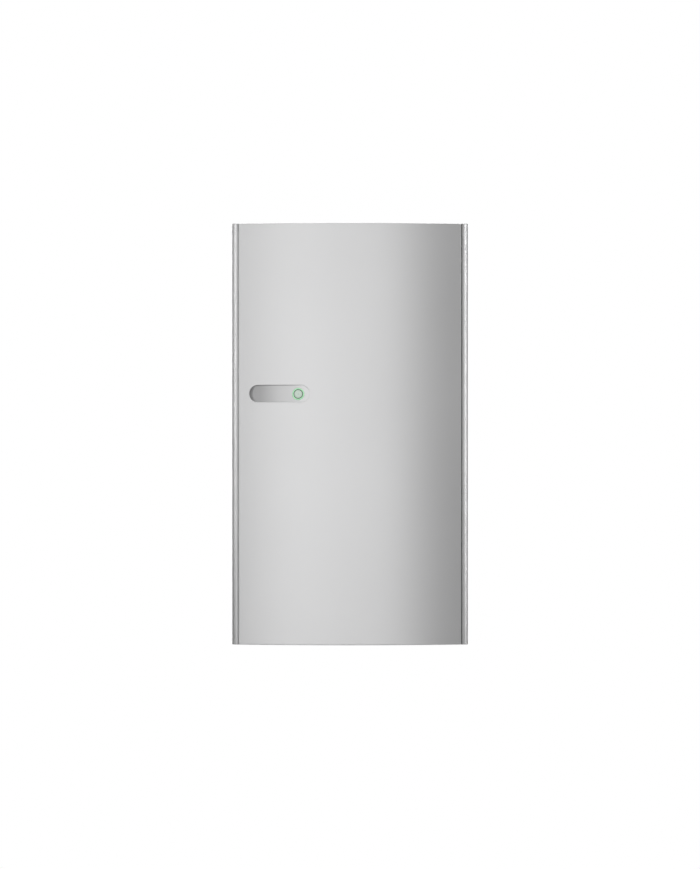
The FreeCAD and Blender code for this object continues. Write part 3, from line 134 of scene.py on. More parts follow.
class Finish(Graph):
    """A procedural material for one of the unit's surfaces."""

    def __init__(self, name, **constants):
        self.material = bpy.data.materials.new(name)
        self.material.use_nodes = True
        super().__init__(self.material.node_tree)
        self.shader = self.tree.nodes["Principled BSDF"]
        for socket, value in constants.items():
            self.shader.inputs[socket.replace("_", " ").title().replace("Ior", "IOR")].default_value = value
        self.place = self.node("ShaderNodeTexCoord", output="Object")

    def feed(self, socket, wire):
        self.tree.links.new(wire.socket, self.shader.inputs[socket])
        return self

    def stretched(self, x=1.0, y=1.0, z=1.0):
        """The object coordinates with each axis scaled."""
        return self.node("ShaderNodeVectorMath", {"operation": "MULTIPLY"}, {0: self.place, 1: (x, y, z)})

    def noise(self, scale, detail=3.0, roughness=0.5, place=None, output="Factor"):
        """Soft random variation from 0 to 1. scale is in features per metre."""
        return self.node("ShaderNodeTexNoise", None,
                         {"Vector": place or self.place, "Scale": scale, "Detail": detail,
                          "Roughness": roughness}, "Fac" if output == "Factor" else output)

    def specks(self, scale, reach=0.35):
        """Small round specks: 1 at the middle of each cell, 0 past its reach."""
        near = self.node("ShaderNodeTexVoronoi", None, {"Vector": self.place, "Scale": scale}, "Distance")
        return (1 - near / reach).clamped()

    def blend(self, mask, first, second):
        """A colour that goes from the first to the second as the mask goes from 0 to 1."""
        return self.node("ShaderNodeMix", {"data_type": "RGBA"}, {0: mask, 6: first, 7: second}, 2)

    def edges(self, width, gain=6.0):
        """1 along the edges of a piece and 0 on its flats."""
        soft = self.node("ShaderNodeBevel", {"samples": 4}, {"Radius": width})
        true = self.node("ShaderNodeNewGeometry", output="Normal")
        lean = self.node("ShaderNodeVectorMath", {"operation": "DOT_PRODUCT"}, {0: soft, 1: true}, "Value")
        return ((1 - lean) * gain).clamped()

    def axes(self):
        """The object coordinates as three separate wires."""
        split = self.node("ShaderNodeSeparateXYZ", None, {"Vector": self.place}).socket.node
        return [Wire(self, split.outputs[index]) for index in range(3)]

    def bump(self, height, depth, strength=1.0):
        """Relief of a height from 0 to 1, depth metres deep."""
        return self.feed("Normal", self.node("ShaderNodeBump", None,
                                             {"Height": height, "Distance": depth, "Strength": strength}))


def shade(colour, gain):
    return (*(min(channel * gain, 1.0) for channel in colour), 1.0)


# ---------------------------------------------------------------- finishes

def satin_paint():
    """The cover's silver paint: metal flake under a satin clear coat, with painted shade in the creases and
    the recess.
    """
    finish = Finish("satin_silver_paint", coat_weight=0.25, coat_roughness=0.30)
    colour = (0.64, 0.64, 0.643)
    flake = finish.noise(2600.0, 2.0, 0.7)
    cloud = finish.noise(5.0, 4.0, 0.5)
    mask = (flake * 0.6 + cloud * 0.4).clamped()
    paint = finish.blend(mask, shade(colour, 0.965), shade(colour, 1.03))
    # Painted shade: the creases and the recess floor are blended towards near black, standing in for the
    # shade that falls in them, and the creases are also made less metallic and rougher.
    groove = crease_painted_shade(finish)
    painted_shade_mask = (groove + recess_painted_shade(finish)).clamped(0.0, 0.88)
    finish.feed("Base Color", finish.blend(painted_shade_mask, paint, (0.035, 0.035, 0.037, 1.0)))
    finish.feed("Metallic", 0.70 + flake * 0.10 - groove * 0.4)
    finish.feed("Roughness", 0.33 + cloud * 0.04 + flake * 0.03 + groove * 0.3)
    finish.bump(finish.noise(420.0, 3.0, 0.55), 0.00003, 0.25)
    return finish.material


def face_sink(x, y):
    """How far a place lies behind the bowed face."""
    return y - FACE_MID + (FACE_R ** 2 - x * x).root()


def crease_painted_shade(finish):
    """How much painted shade darkens the paint down the two creases. The right one gets the deeper painted
    shade.
    """
    x, y, _ = finish.axes()
    across = ((CREASE_HALF + 0.1 * MM - (x.size() - (HALF - CREASE_IN)).size()) / (0.3 * MM)).clamped()
    outside = ((2.7 * MM - face_sink(x, y)) / (0.2 * MM)).clamped()
    right = (x / (10 * MM)).clamped()
    return across * outside * (0.36 + right * 0.50)


def recess_painted_shade(finish):
    """How much painted shade darkens the paint in the recess: a little on its whole floor, more at its deep
    left end.
    """
    x, y, z = finish.axes()
    sink = face_sink(x, y)
    in_height = ((PILL_R + 1 * MM - (z - PILL_Z).size()) / (1 * MM)).clamped()
    in_length = ((PILL_END + 1 * MM - x) / (1 * MM)).clamped()
    from_left = ((x - PILL_X + PILL_LONG / 2 + 1 * MM) / (1 * MM)).clamped()
    deep = ((sink - 2.5 * MM) / (3.5 * MM)).clamped()
    below = ((sink - 0.2 * MM) / (0.6 * MM)).clamped()
    return in_height * in_length * from_left * (below * 0.11 + deep * 0.20)


def powder_coat(name, colour, grain=900.0):
    """Textured powder coat, rubbed bright along its edges."""
    finish = Finish(name, specular_ior_level=0.45)
    cloud = finish.noise(9.0, 5.0, 0.6)
    pebble = finish.noise(grain, 2.0, 0.5)
    worn = (finish.edges(0.0008) * finish.noise(45.0, 4.0, 0.7) * 1.1).clamped(0.0, 0.6)
    paint = finish.blend((cloud * 0.7 + pebble * 0.3).clamped(), shade(colour, 0.82), shade(colour, 1.18))
    finish.feed("Base Color", finish.blend(worn, paint, shade(colour, 2.2)))
    finish.feed("Roughness", 0.52 + pebble * 0.16 - worn * 0.2)
    finish.feed("Metallic", worn * 0.4)
    finish.bump(pebble, 0.00012, 0.55)
    return finish.material


def cast_metal(name, colour, rough=0.46, metallic=0.85):
    """Blasted casting: fine sandy relief, duller clouds and brighter edges."""
    finish = Finish(name)
    sand = finish.noise(1500.0, 3.0, 0.6)
    cloud = finish.noise(14.0, 5.0, 0.6)
    rim = finish.edges(0.001) * 0.6
    dull = finish.blend((cloud * 0.8 + sand * 0.2).clamped(), shade(colour, 0.78), shade(colour, 1.12))
    finish.feed("Base Color", finish.blend(rim, dull, shade(colour, 1.45)))
    finish.feed("Metallic", metallic - cloud * 0.12)
    finish.feed("Roughness", rough + sand * 0.14 - rim * 0.12)
    finish.bump(sand, 0.00015, 0.5)
    return finish.material


def galvanised():
    """Dipped zinc: angular spangle, each flake of its own grey and gloss."""
    finish = Finish("galvanised_sheet")
    cells = finish.node("ShaderNodeTexVoronoi", None,
                        {"Vector": finish.stretched(1, 0.25, 1), "Scale": 120.0},
                        "Color")
    spangle = finish.node("ShaderNodeSeparateColor", None, {0: cells})
    cloud = finish.noise(22.0, 5.0, 0.6)
    mask = (spangle * 0.55 + cloud * 0.45).clamped()
    colour = (0.55, 0.57, 0.585)
    finish.feed("Base Color", finish.blend(mask, shade(colour, 0.68), shade(colour, 1.25)))
    finish.feed("Metallic", 0.80 + cloud * 0.15)
    finish.feed("Roughness", 0.30 + spangle * 0.22 + cloud * 0.08)
    finish.bump(spangle * 0.4 + finish.noise(700.0), 0.00006, 0.5)
    return finish.material


def brushed(name, colour, along="x"):
    """Plated or bare metal with fine lines left by brushing or turning."""
    finish = Finish(name)
    stretch = {"x": (8.0, 900.0, 900.0), "z": (900.0, 900.0, 8.0)}[along]
    lines = finish.noise(1.0, 3.0, 0.6, finish.stretched(*stretch))
    cloud = finish.noise(60.0, 4.0, 0.6)
    finish.feed("Base Color", finish.blend((lines * 0.6 + cloud * 0.4).clamped(),
                                           shade(colour, 0.78), shade(colour, 1.15)))
    finish.feed("Metallic", 0.9 + cloud * 0.1)
    finish.feed("Roughness", 0.20 + lines * 0.18 + cloud * 0.08)
    finish.bump(lines, 0.00003, 0.5)
    return finish.material


def moulded(name, colour, rough=0.45, grain=1100.0, depth=0.00008):
    """Injection-moulded plastic with a spark-eroded grain."""
    finish = Finish(name, specular_ior_level=0.5)
    texture = finish.noise(grain, 2.0, 0.6)
    cloud = finish.noise(18.0, 4.0, 0.6)
    rubbed = finish.edges(0.0006) * 0.35
    base = finish.blend(cloud, shade(colour, 0.88), shade(colour, 1.12))
    finish.feed("Base Color", finish.blend(rubbed, base, shade(colour, 1.5)))
    finish.feed("Roughness", rough + texture * 0.12 - rubbed * 0.15)
    finish.bump(texture, depth, 0.5)
    return finish.material


def soft_rubber(name, colour):
    finish = Finish(name, specular_ior_level=0.3)
    pores = finish.specks(1400.0, 0.5)
    cloud = finish.noise(30.0, 4.0, 0.6)
    finish.feed("Base Color", finish.blend(cloud, shade(colour, 0.75), shade(colour, 1.3)))
    finish.feed("Roughness", 0.72 + cloud * 0.15)
    finish.bump(1 - pores, 0.00012, 0.6)
    return finish.material


def board_mask():
    """Circuit board: green mask over copper tracks that run along X and Z, with small plated holes."""
    finish = Finish("board_solder_mask", coat_weight=0.3, coat_roughness=0.2)
    weave = finish.noise(1.0, 1.0, 0.4, finish.stretched(90.0, 60.0, 620.0))
    tracks = ((weave - 0.47) * 60.0).clamped() * (1 - ((weave - 0.53) * 60.0).clamped())
    holes = (finish.specks(260.0, 0.16) * 6.0).clamped()
    green = finish.blend(tracks, (0.012, 0.095, 0.045, 1.0), (0.03, 0.19, 0.085, 1.0))
    finish.feed("Base Color", finish.blend(holes, green, (0.72, 0.66, 0.48, 1.0)))
    finish.feed("Metallic", holes * 0.9)
    finish.feed("Roughness", 0.34 - holes * 0.1 + weave * 0.05)
    finish.bump(tracks + holes, 0.00004, 0.7)
    return finish.material


def cell_film():
    """Blue film wrapped over each cell, with faint draw lines and scuffs."""
    finish = Finish("cell_blue_film", coat_weight=0.4, coat_roughness=0.25)
    draw = finish.noise(1.0, 3.0, 0.6, finish.stretched(30.0, 30.0, 700.0))
    scuff = finish.noise(70.0, 5.0, 0.7)
    finish.feed("Base Color", finish.blend((draw * 0.5 + scuff * 0.5).clamped(),
                                           (0.012, 0.05, 0.16, 1.0), (0.035, 0.12, 0.33, 1.0)))
    finish.feed("Roughness", 0.26 + scuff * 0.22)
    finish.bump(draw, 0.00005, 0.5)
    return finish.material


def lit_lens(name, colour, glow, inner, outer, centre, strength):
    """A frosted lens lit from behind: it glows most on a circle between two radii."""
    finish = Finish(name, ior=1.45, coat_weight=0.35, coat_roughness=0.12, emission_strength=strength)
    offset = finish.node("ShaderNodeVectorMath", {"operation": "SUBTRACT"}, {0: finish.place, 1: centre})
    reach = finish.node("ShaderNodeVectorMath", {"operation": "LENGTH"}, {0: offset}, "Value")
    middle = (inner + outer) / 2
    away = ((reach - middle) / (outer - inner) * 2.0) ** 2.0
    lit = (1 - away * 0.55).clamped()
    frost = finish.noise(900.0, 2.0, 0.5)
    finish.feed("Base Color", finish.blend(lit, shade(colour, 0.8), shade(colour, 1.05)))
    finish.feed("Emission Color", finish.blend(lit, shade(glow, 0.45), (*glow, 1.0)))
    finish.feed("Roughness", 0.28 + frost * 0.15)
    finish.bump(frost, 0.00004, 0.4)
    return finish.material


# ---------------------------------------------------------------- mesh helpers

def linked(name, data):
    """A new object in the scene."""
    made = bpy.data.objects.new(name, data)
    bpy.context.scene.collection.objects.link(made)
    return made


def made_plain(holder):
    """The mesh that an object's modifiers give. The object itself goes."""
    bpy.context.view_layer.update()
    mesh = bpy.data.meshes.new_from_object(holder.evaluated_get(bpy.context.evaluated_depsgraph_get()))
    bpy.data.objects.remove(holder)
    return mesh


def arc(x, y, radius, start, sweep, steps):
    """Points along an arc, both ends included. Angles are in radians."""
    turns = [start + sweep * step / steps for step in range(steps + 1)]
    return [(x + radius * math.cos(turn), y + radius * math.sin(turn)) for turn in turns]


def round_ended(x, y, reach_x, reach_y, radius, steps):
    """A slot's outline: two half rounds whose centres stand off its middle by a reach."""
    points = []
    for side in (1, -1):
        start = math.atan2(reach_y * side, reach_x * side) - math.pi / 2
        points += arc(x + reach_x * side, y + reach_y * side, radius, start, math.pi, steps)
    return points


def finish_piece(name, mesh, material, body, smooth_angle=35.0):
    piece = linked(name, mesh)
    mesh.materials.clear()
    mesh.materials.append(material)
    if not mesh.has_custom_normals:
        mesh.shade_smooth()
        mesh.set_sharp_from_angle(angle=math.radians(smooth_angle))
    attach(piece, body)
    return piece


def body_of_node(node):
    return next(body for body, names in frame["record"]["behaviour"]["bodies"].items() if node in names)


def slot_of_node(node):
    return next(part["material_slot"] for part in frame["record"]["subparts"] if part["node"] == node)


def closed_mesh(work, name, join):
    """A worked mesh made plain: points that meet are joined and every face is turned outwards."""
    bmesh.ops.remove_doubles(work, verts=work.verts, dist=join)
    bmesh.ops.recalc_face_normals(work, faces=work.faces)
    mesh = bpy.data.meshes.new(name)
    work.to_mesh(mesh)
    work.free()
    return mesh


def skinned(name, points, faces):
    """A closed mesh from points in metres and faces that use them by number."""
    drawn = bpy.data.meshes.new(name + "_drawn")
    drawn.from_pydata(points, [], faces)
    work = bmesh.new()
    work.from_mesh(drawn)
    bpy.data.meshes.remove(drawn)
    return closed_mesh(work, name, 1e-6)


def flat_faced(mesh):
    """Shade large faces truly flat: each corner's normal leans towards the largest face that meets there."""
    mesh.shade_smooth()
    mesh.set_sharp_from_angle(angle=math.radians(50))
    holder = linked(mesh.name + "_shading", mesh)
    weighting = holder.modifiers.new("weighting", "WEIGHTED_NORMAL")
    weighting.keep_sharp = True
    weighting.weight = 100
    shaded = made_plain(holder)
    shaded.name = mesh.name + "_shaded"
    return shaded


def softened(node, width, finishes):
    """A CAD node's own form with its edges broken by a small round, as a made part's are."""
    work = bmesh.new()
    work.from_mesh(NODES[node].data)
    bmesh.ops.remove_doubles(work, verts=work.verts, dist=2e-6)
    bmesh.ops.dissolve_limit(work, angle_limit=math.radians(1.0), verts=work.verts, edges=work.edges)
    sharp = [edge for edge in work.edges if edge.is_manifold and edge.calc_face_angle(0.0) > math.radians(35)]
    bmesh.ops.bevel(work, geom=sharp, offset=width, offset_type="OFFSET", segments=2, profile=0.5,
                    affect="EDGES", clamp_overlap=True)
    bmesh.ops.recalc_face_normals(work, faces=work.faces)
    mesh = bpy.data.meshes.new(node + "_soft")
    work.to_mesh(mesh)
    work.free()
    slot = slot_of_node(node)
    piece = finish_piece(node + "_soft", flat_faced(mesh), finishes[slot], body_of_node(node))
    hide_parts(node)
    return piece


def lone_boxes(node):
    """The lowest and highest corner of each separate solid in a CAD node."""
    work = bmesh.new()
    work.from_mesh(NODES[node].data)
    bmesh.ops.remove_doubles(work, verts=work.verts, dist=2e-6)
    left = set(work.verts)
    boxes = []
    while left:
        island = {left.pop()}
        edge_of_search = list(island)
        while edge_of_search:
            reached = edge_of_search.pop()
            near = {edge.other_vert(reached) for edge in reached.link_edges} & left
            left -= near
            island |= near
            edge_of_search += near
        low = Vector([min(vert.co[axis] for vert in island) for axis in range(3)])
        high = Vector([max(vert.co[axis] for vert in island) for axis in range(3)])
        boxes.append((low, high))
    work.free()
    return sorted(boxes, key=lambda box: tuple(box[0]))


# ---------------------------------------------------------------- things that repeat

class Pattern(Graph):
    """A Geometry Nodes tree that sets one shape at every point of the mesh it is given."""

    def __init__(self, name, **sizes):
        super().__init__(bpy.data.node_groups.new(name, "GeometryNodeTree"))
        self.add_socket("Geometry", "NodeSocketGeometry", "INPUT")
        for label, value in sizes.items():
            kind = "NodeSocketInt" if isinstance(value, int) else "NodeSocketFloat"
            self.add_socket(label.replace("_", " "), kind, "INPUT").default_value = value
        self.add_socket("Material", "NodeSocketMaterial", "INPUT")
        self.add_socket("Geometry", "NodeSocketGeometry", "OUTPUT")
        self.entry = self.tree.nodes.new("NodeGroupInput")

    def add_socket(self, label, kind, side):
        return self.tree.interface.new_socket(label, in_out=side, socket_type=kind)

    def size(self, label):
        return Wire(self, self.entry.outputs[label])

    def vector(self, x=0.0, y=0.0, z=0.0):
        return self.node("ShaderNodeCombineXYZ", None, {"X": x, "Y": y, "Z": z})

    def moved(self, shape, offset):
        return self.node("GeometryNodeTransform", None, {"Geometry": shape, "Translation": offset})

    def drum(self, radius, tall, sides=24):
        """A cylinder that stands on its own base."""
        shape = self.node("GeometryNodeMeshCylinder", None,
                          {"Vertices": sides, "Radius": radius, "Depth": tall},
                          "Mesh")
        return self.moved(shape, self.vector(z=tall * 0.5))

    def block(self, x, y, z):
        return self.node("GeometryNodeMeshCube", None, {"Size": self.vector(x, y, z)}, "Mesh")

    def joined(self, *shapes):
        return self.node("GeometryNodeJoinGeometry", None, {"Geometry": list(shapes)})

    def without(self, shape, tool):
        return self.node("GeometryNodeMeshBoolean", {"operation": "DIFFERENCE"}, {0: shape, 1: tool})

    def shared(self, shape, tool):
        return self.node("GeometryNodeMeshBoolean", {"operation": "INTERSECT"}, {1: [shape, tool]})

    def set_at_points(self, shape, turn=None):
        """Finish the tree: the shape at each point, made real, in its material."""
        seats = {"Points": self.size("Geometry"), "Instance": shape}
        if turn is not None:
            seats["Rotation"] = self.node("FunctionNodeEulerToRotation", None, {0: turn})
        placed = self.node("GeometryNodeInstanceOnPoints", None, seats)
        real = self.node("GeometryNodeRealizeInstances", None, {0: placed})
        dressed = self.node("GeometryNodeSetMaterial", None,
                            {"Geometry": real, "Material": self.size("Material")})
        leave = self.tree.nodes.new("NodeGroupOutput")
        self.tree.links.new(dressed.socket, leave.inputs[0])
        return self

    def grown(self, name, seats, material, body, slot, **sizes):
        """A plain mesh piece: this pattern set at the given points."""
        seed = bpy.data.meshes.new(name + "_seats")
        seed.from_pydata([tuple(seat) for seat in seats], [], [])
        holder = linked(name + "_seats", seed)
        modifier = holder.modifiers.new("pattern", "NODES")
        modifier.node_group = self.tree
        values = {label.replace("_", " "): value for label, value in sizes.items()}
        values["Material"] = material
        for socket in self.tree.interface.items_tree:
            if socket.in_out == "INPUT" and socket.name in values:
                modifier[socket.identifier] = values[socket.name]
        mesh = made_plain(holder)
        mesh.name = name
        return finish_piece(name, mesh, material, body)


def screw_pattern():
    """A domed head with a hex socket, a flat washer and a shank, facing the front, turned at random."""
    tree = Pattern("socket_screw", Head_Radius=0.003, Head_Tall=0.002, Socket_Radius=0.0015,
                   Washer_Radius=0.004,
                   Washer_Thick=0.0005, Shank_Radius=0.0018, Shank_Long=0.006, Seed=4)
    head_radius, tall = tree.size("Head Radius"), tree.size("Head Tall")
    thick = tree.size("Washer Thick")
    dome_radius = head_radius * 1.35
    dome = tree.node("GeometryNodeMeshUVSphere", None,
                     {"Segments": 24, "Rings": 14, "Radius": dome_radius}, "Mesh")
    dome = tree.moved(dome, tree.vector(z=tall - dome_radius))
    head = tree.shared(tree.drum(head_radius, tall), dome)
    socket = tree.drum(tree.size("Socket Radius"), tall, 6)
    head = tree.without(head, tree.moved(socket, tree.vector(z=tall * 0.45)))
    washer = tree.drum(tree.size("Washer Radius"), thick)
    shank = tree.drum(tree.size("Shank Radius"), tree.size("Shank Long"), 12)
    shank = tree.moved(shank, tree.vector(z=thick * 0.5 - tree.size("Shank Long")))
    whole = tree.joined(tree.moved(head, tree.vector(z=thick * 0.9)), washer, shank)
    spin = tree.node("FunctionNodeRandomValue", {"data_type": "FLOAT"},
                     {2: 0.0, 3: math.tau, "Seed": tree.size("Seed")}, 1)
    return tree.set_at_points(whole, tree.vector(math.pi / 2, spin, 0.0))


def fin_pattern():
    """A bank of upright cooling fins, thinner and shorter towards their tips."""
    tree = Pattern("fin_bank", Fins=12, Pitch=0.012, Thick=0.003, Tall=0.01, Long=0.139, Taper=0.35,
                   Rake=0.006)
    thick, tall, long = tree.size("Thick"), tree.size("Tall"), tree.size("Long")
    sheet = tree.node("GeometryNodeMeshCube", None,
                      {"Size": tree.vector(1.0, 1.0, 1.0), "Vertices Y": 4}, "Mesh")
    place = tree.node("GeometryNodeInputPosition")
    split = tree.node("ShaderNodeSeparateXYZ", None, {0: place})
    across, level = Wire(tree, split.socket.node.outputs[0]), Wire(tree, split.socket.node.outputs[2])
    reach = 0.5 - Wire(tree, split.socket.node.outputs[1])
    narrow = thick * (1 - reach * tree.size("Taper"))
    short = long - tree.size("Rake") * reach * reach * 2.0
    shaped = tree.vector(across * narrow, 0.0 - reach * tall, level * short)
    fin = tree.node("GeometryNodeSetPosition", None, {"Geometry": sheet, "Position": shaped})
    count, pitch = tree.size("Fins"), tree.size("Pitch")
    start = tree.vector((count - 1) * pitch * -0.5)
    line = tree.node("GeometryNodeMeshLine", None, {"Count": count, "Start Location": start,
                                                    "Offset": tree.vector(pitch)})
    bank = tree.node("GeometryNodeInstanceOnPoints", None, {"Points": line, "Instance": fin})
    return tree.set_at_points(bank)


def tie_pattern():
    """A cable tie: a flat band round an upright cable, its lock in front and the cut end of its tail."""
    tree = Pattern("cable_tie", Band_Radius=0.0056, Band_Wide=0.0045, Band_Thick=0.0012)
    radius, wide, thick = tree.size("Band Radius"), tree.size("Band Wide"), tree.size("Band Thick")
    ring = tree.node("GeometryNodeCurvePrimitiveCircle", None, {"Resolution": 28, "Radius": radius}, "Curve")
    strip = tree.node("GeometryNodeCurvePrimitiveQuadrilateral", None, {"Width": thick, "Height": wide})
    band = tree.node("GeometryNodeCurveToMesh", None,
                     {"Curve": ring, "Profile Curve": strip, "Fill Caps": True})
    lock = tree.moved(tree.block(wide * 1.15, wide * 0.8, wide * 1.2),
                      tree.vector(y=radius * -1.0 - wide * 0.3))
    tail = tree.moved(tree.block(wide * 1.5, thick, wide * 0.8),
                      tree.vector(wide * 0.9, radius * -1.0 - wide * 0.35))
    return tree.set_at_points(tree.joined(band, lock, tail))


def set_screws(tree, node, name, material, slot, head_radius, head_tall):
    """Replace a node of plain screws: each seat is read from the node's own solids."""
    boxes = lone_boxes(node)
    seats = [Vector(((low.x + high.x) / 2, low.y + head_tall, (low.z + high.z) / 2)) for low, high in boxes]
    long = min(high.y - low.y for low, high in boxes) - head_tall
    wide = min(high.x - low.x for low, high in boxes) / 2
    piece = tree.grown(name, seats, material, body_of_node(node), slot, Head_Radius=head_radius,
                       Head_Tall=head_tall * 0.8, Socket_Radius=head_radius * 0.5, Washer_Radius=wide,
                       Washer_Thick=head_tall * 0.2, Shank_Radius=head_radius * 0.6, Shank_Long=long)
    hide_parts(node)
    return piece


# ---------------------------------------------------------------- cast boxes

def round_outline(low, high, corner, inset, steps=6):
    """A rectangle with round corners, drawn in by an inset."""
    radius = max(corner - inset, 0.2 * MM)
    left, right = low[0] + inset + radius, high[0] - inset - radius
    bottom, top = low[1] + inset + radius, high[1] - inset - radius
    points = []
    for quarter, (x, z) in enumerate(((right, top), (left, top), (left, bottom), (right, bottom))):
        points += arc(x, z, radius, math.pi / 2 * quarter, math.pi / 2, steps)
    return points


def cast_block(low, high, back, front, corner, draft, edge):
    """Points and faces of a cast box: round corners, a slight draft and a rounded front edge."""
    levels = [(back, 0.0), (front + edge, draft)]
    levels += [(front + edge * (1 - math.sin(turn)), draft + edge * (1 - math.cos(turn)))
               for turn in (math.radians(angle) for angle in (22.5, 45, 67.5, 90))]
    points = []
    faces = []
    for depth, inset in levels:
        points += [(x, depth, z) for x, z in round_outline(low, high, corner, inset)]
    count = len(points) // len(levels)
    for level in range(len(levels) - 1):
        for index in range(count):
            after = (index + 1) % count
            start = level * count
            faces.append((start + index, start + after, start + count + after, start + count + index))
    faces.append(tuple(range(count)))
    faces.append(tuple(range(len(points) - count, len(points))))
    return points, faces


def block_piece(name, blocks, material, body):
    """One piece from several cast boxes that meet."""
    points, faces = [], []
    for block_points, block_faces in blocks:
        first = len(points)
        points += block_points
        faces += [tuple(first + index for index in face) for face in block_faces]
    return finish_piece(name, skinned(name, points, faces), material, body)


# ---------------------------------------------------------------- the bowed cover

COVER_LOW, COVER_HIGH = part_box("cover_shell")
HALF = COVER_HIGH.x
DEEP = -COVER_LOW.y
REAR = -COVER_HIGH.y
TOP = COVER_HIGH.z
WALL = 3.0 * MM
FACE_R = 1221.0 * MM
NOSE_R = 14.0 * MM
EDGE_R = 1.5 * MM
EDGE_HOLD = TOP - EDGE_R - 3.0 * MM
CREASE_IN, CREASE_HALF, CREASE_DEEP = 14.8 * MM, 1.6 * MM, 2.3 * MM
PILL_X, PILL_Z, PILL_LONG, PILL_R = -164.0 * MM, 94.0 * MM, 141.0 * MM, 20.0 * MM
PILL_REACH, PILL_OUTER = PILL_LONG / 2 - PILL_R, 8.0 * MM
FLOOR_R, FLOOR_LIP = 607.0 * MM, 0.25 * MM
RIM_R, FOOT_R, DRAFT = 0.5 * MM, 1.0 * MM, 0.3 * MM
LIGHT_X, LIGHT_Z, LIGHT_R = -120.0 * MM, 93.0 * MM, 14.1 * MM
VENT_PITCH, VENT_COUNT, VENT_R, VENT_LONG, VENT_Y = 16.0 * MM, 23, 3.0 * MM, 60.0 * MM, -125.0 * MM
NOTCH_Z, NOTCH_Y, NOTCH_R = 378.0 * MM, -72.0 * MM, 22.0 * MM
WINDOW_Z, WINDOW_Y, WINDOW_HALF, WINDOW_CORNER = 432.0 * MM, -70.0 * MM, 22.0 * MM, 5.0 * MM

FACE_MID = FACE_R - DEEP
NOSE_X = HALF - NOSE_R
NOSE_Y = FACE_MID - math.sqrt((FACE_R - NOSE_R) ** 2 - NOSE_X ** 2)
NOSE_TURN = math.atan2(NOSE_X, FACE_MID - NOSE_Y)
SIDE_LONG = -REAR - NOSE_Y
NOSE_LONG = NOSE_R * (math.pi / 2 - NOSE_TURN)
FACE_LONG = FACE_R * NOSE_TURN * 2
WRAP_LONG = SIDE_LONG * 2 + NOSE_LONG * 2 + FACE_LONG


def wrap_point(along):
    """The cover's outline from above, by distance from its left rear edge: a point and its outward normal."""
    if along > WRAP_LONG / 2:
        (x, y), (nx, ny) = wrap_point(WRAP_LONG - along)
        return (-x, y), (-nx, ny)
    if along <= SIDE_LONG:
        return (-HALF, -REAR - along), (-1.0, 0.0)
    if along <= SIDE_LONG + NOSE_LONG:
        turn = (along - SIDE_LONG) / NOSE_R
        nx, ny = -math.cos(turn), -math.sin(turn)
        return (-NOSE_X + NOSE_R * nx, NOSE_Y + NOSE_R * ny), (nx, ny)
    lean = (along - WRAP_LONG / 2) / FACE_R
    nx, ny = math.sin(lean), -math.cos(lean)
    return (FACE_R * nx, FACE_MID + FACE_R * ny), (nx, ny)


def along_of(x):
    """How far along the outline the face reaches an X."""
    return WRAP_LONG / 2 + FACE_R * math.asin(x / FACE_R)


def crease_depth(along):
    """The narrow crease between the face and each nose: steep walls, a round bottom and softened lips."""
    side = along_of(HALF - CREASE_IN) - WRAP_LONG / 2
    away = abs(abs(along - WRAP_LONG / 2) - side) / CREASE_HALF
    if away >= 1.25:
        return 0.0
    if away >= 0.92:
        return CREASE_DEEP * 0.09 * ((1.25 - away) / 0.33) ** 2
    return CREASE_DEEP * (0.09 + 0.91 * math.sqrt(1 - (away / 0.92) ** 4))


def face_y(x):
    return FACE_MID - math.sqrt(FACE_R ** 2 - x * x)


PILL_END = PILL_X + PILL_LONG / 2
FLOOR_X = PILL_END * (1 - FLOOR_R / FACE_R)
FLOOR_Y = face_y(PILL_END) + (FACE_MID - face_y(PILL_END)) * FLOOR_R / FACE_R + FLOOR_LIP


def floor_y(x):
    return FLOOR_Y - math.sqrt(FLOOR_R ** 2 - (x - FLOOR_X) ** 2)


def pill_distance(x, z):
    """Signed distance from the recess's outline: negative inside."""
    return math.hypot(max(abs(x - PILL_X) - PILL_REACH, 0.0), z - PILL_Z) - PILL_R


def recess_depth(x, z):
    """How far the recess drops the surface towards the wall at a point of the face."""
    away = pill_distance(x, z)
    if away >= RIM_R:
        return 0.0
    full = floor_y(x) - face_y(x)
    rim = min(RIM_R, full * 0.45)
    foot = min(FOOT_R, full * 0.45)
    if away >= 0:
        return rim * (1 - math.sqrt(max(1 - (1 - away / RIM_R) ** 2, 0.0)))
    if away >= -DRAFT:
        return rim + (full - rim - foot) * (-away / DRAFT)
    if away >= -DRAFT - FOOT_R:
        turn = 1 - (-away - DRAFT) / FOOT_R
        return full - foot * (1 - math.sqrt(max(1 - turn ** 2, 0.0)))
    return full


def edge_inset(z):
    """How far the rounded top and bottom edges draw the wrap in."""
    over = abs(z) - (TOP - EDGE_R)
    return 0.0 if over <= 0 else EDGE_R - math.sqrt(max(EDGE_R ** 2 - over ** 2, 0.0))


def outer_point(along, z):
    (x, y), (nx, ny) = wrap_point(along)
    drop = crease_depth(along) + edge_inset(z)
    on_face = SIDE_LONG + NOSE_LONG < along < WRAP_LONG - SIDE_LONG - NOSE_LONG
    sink = recess_depth(x, z) if on_face else 0.0
    return Vector((x - nx * drop, y - ny * drop + sink, z))


def inner_point(along, z):
    """The same place on the inside of the wall. Round the recess it stands off by the wall's thickness."""
    (x, y), (nx, ny) = wrap_point(along)
    squeeze = (TOP - WALL - EDGE_HOLD) / (TOP - EDGE_HOLD)
    level = z if abs(z) <= EDGE_HOLD else math.copysign(EDGE_HOLD + (abs(z) - EDGE_HOLD) * squeeze, z)
    sink = 0.0
    on_face = SIDE_LONG + NOSE_LONG < along < WRAP_LONG - SIDE_LONG - NOSE_LONG
    if on_face:
        sink = recess_depth(x, z)
        x, level = spread_from_pill(x, level)
        y = face_y(x)
    return Vector((x - nx * WALL, y - ny * WALL + sink, level))


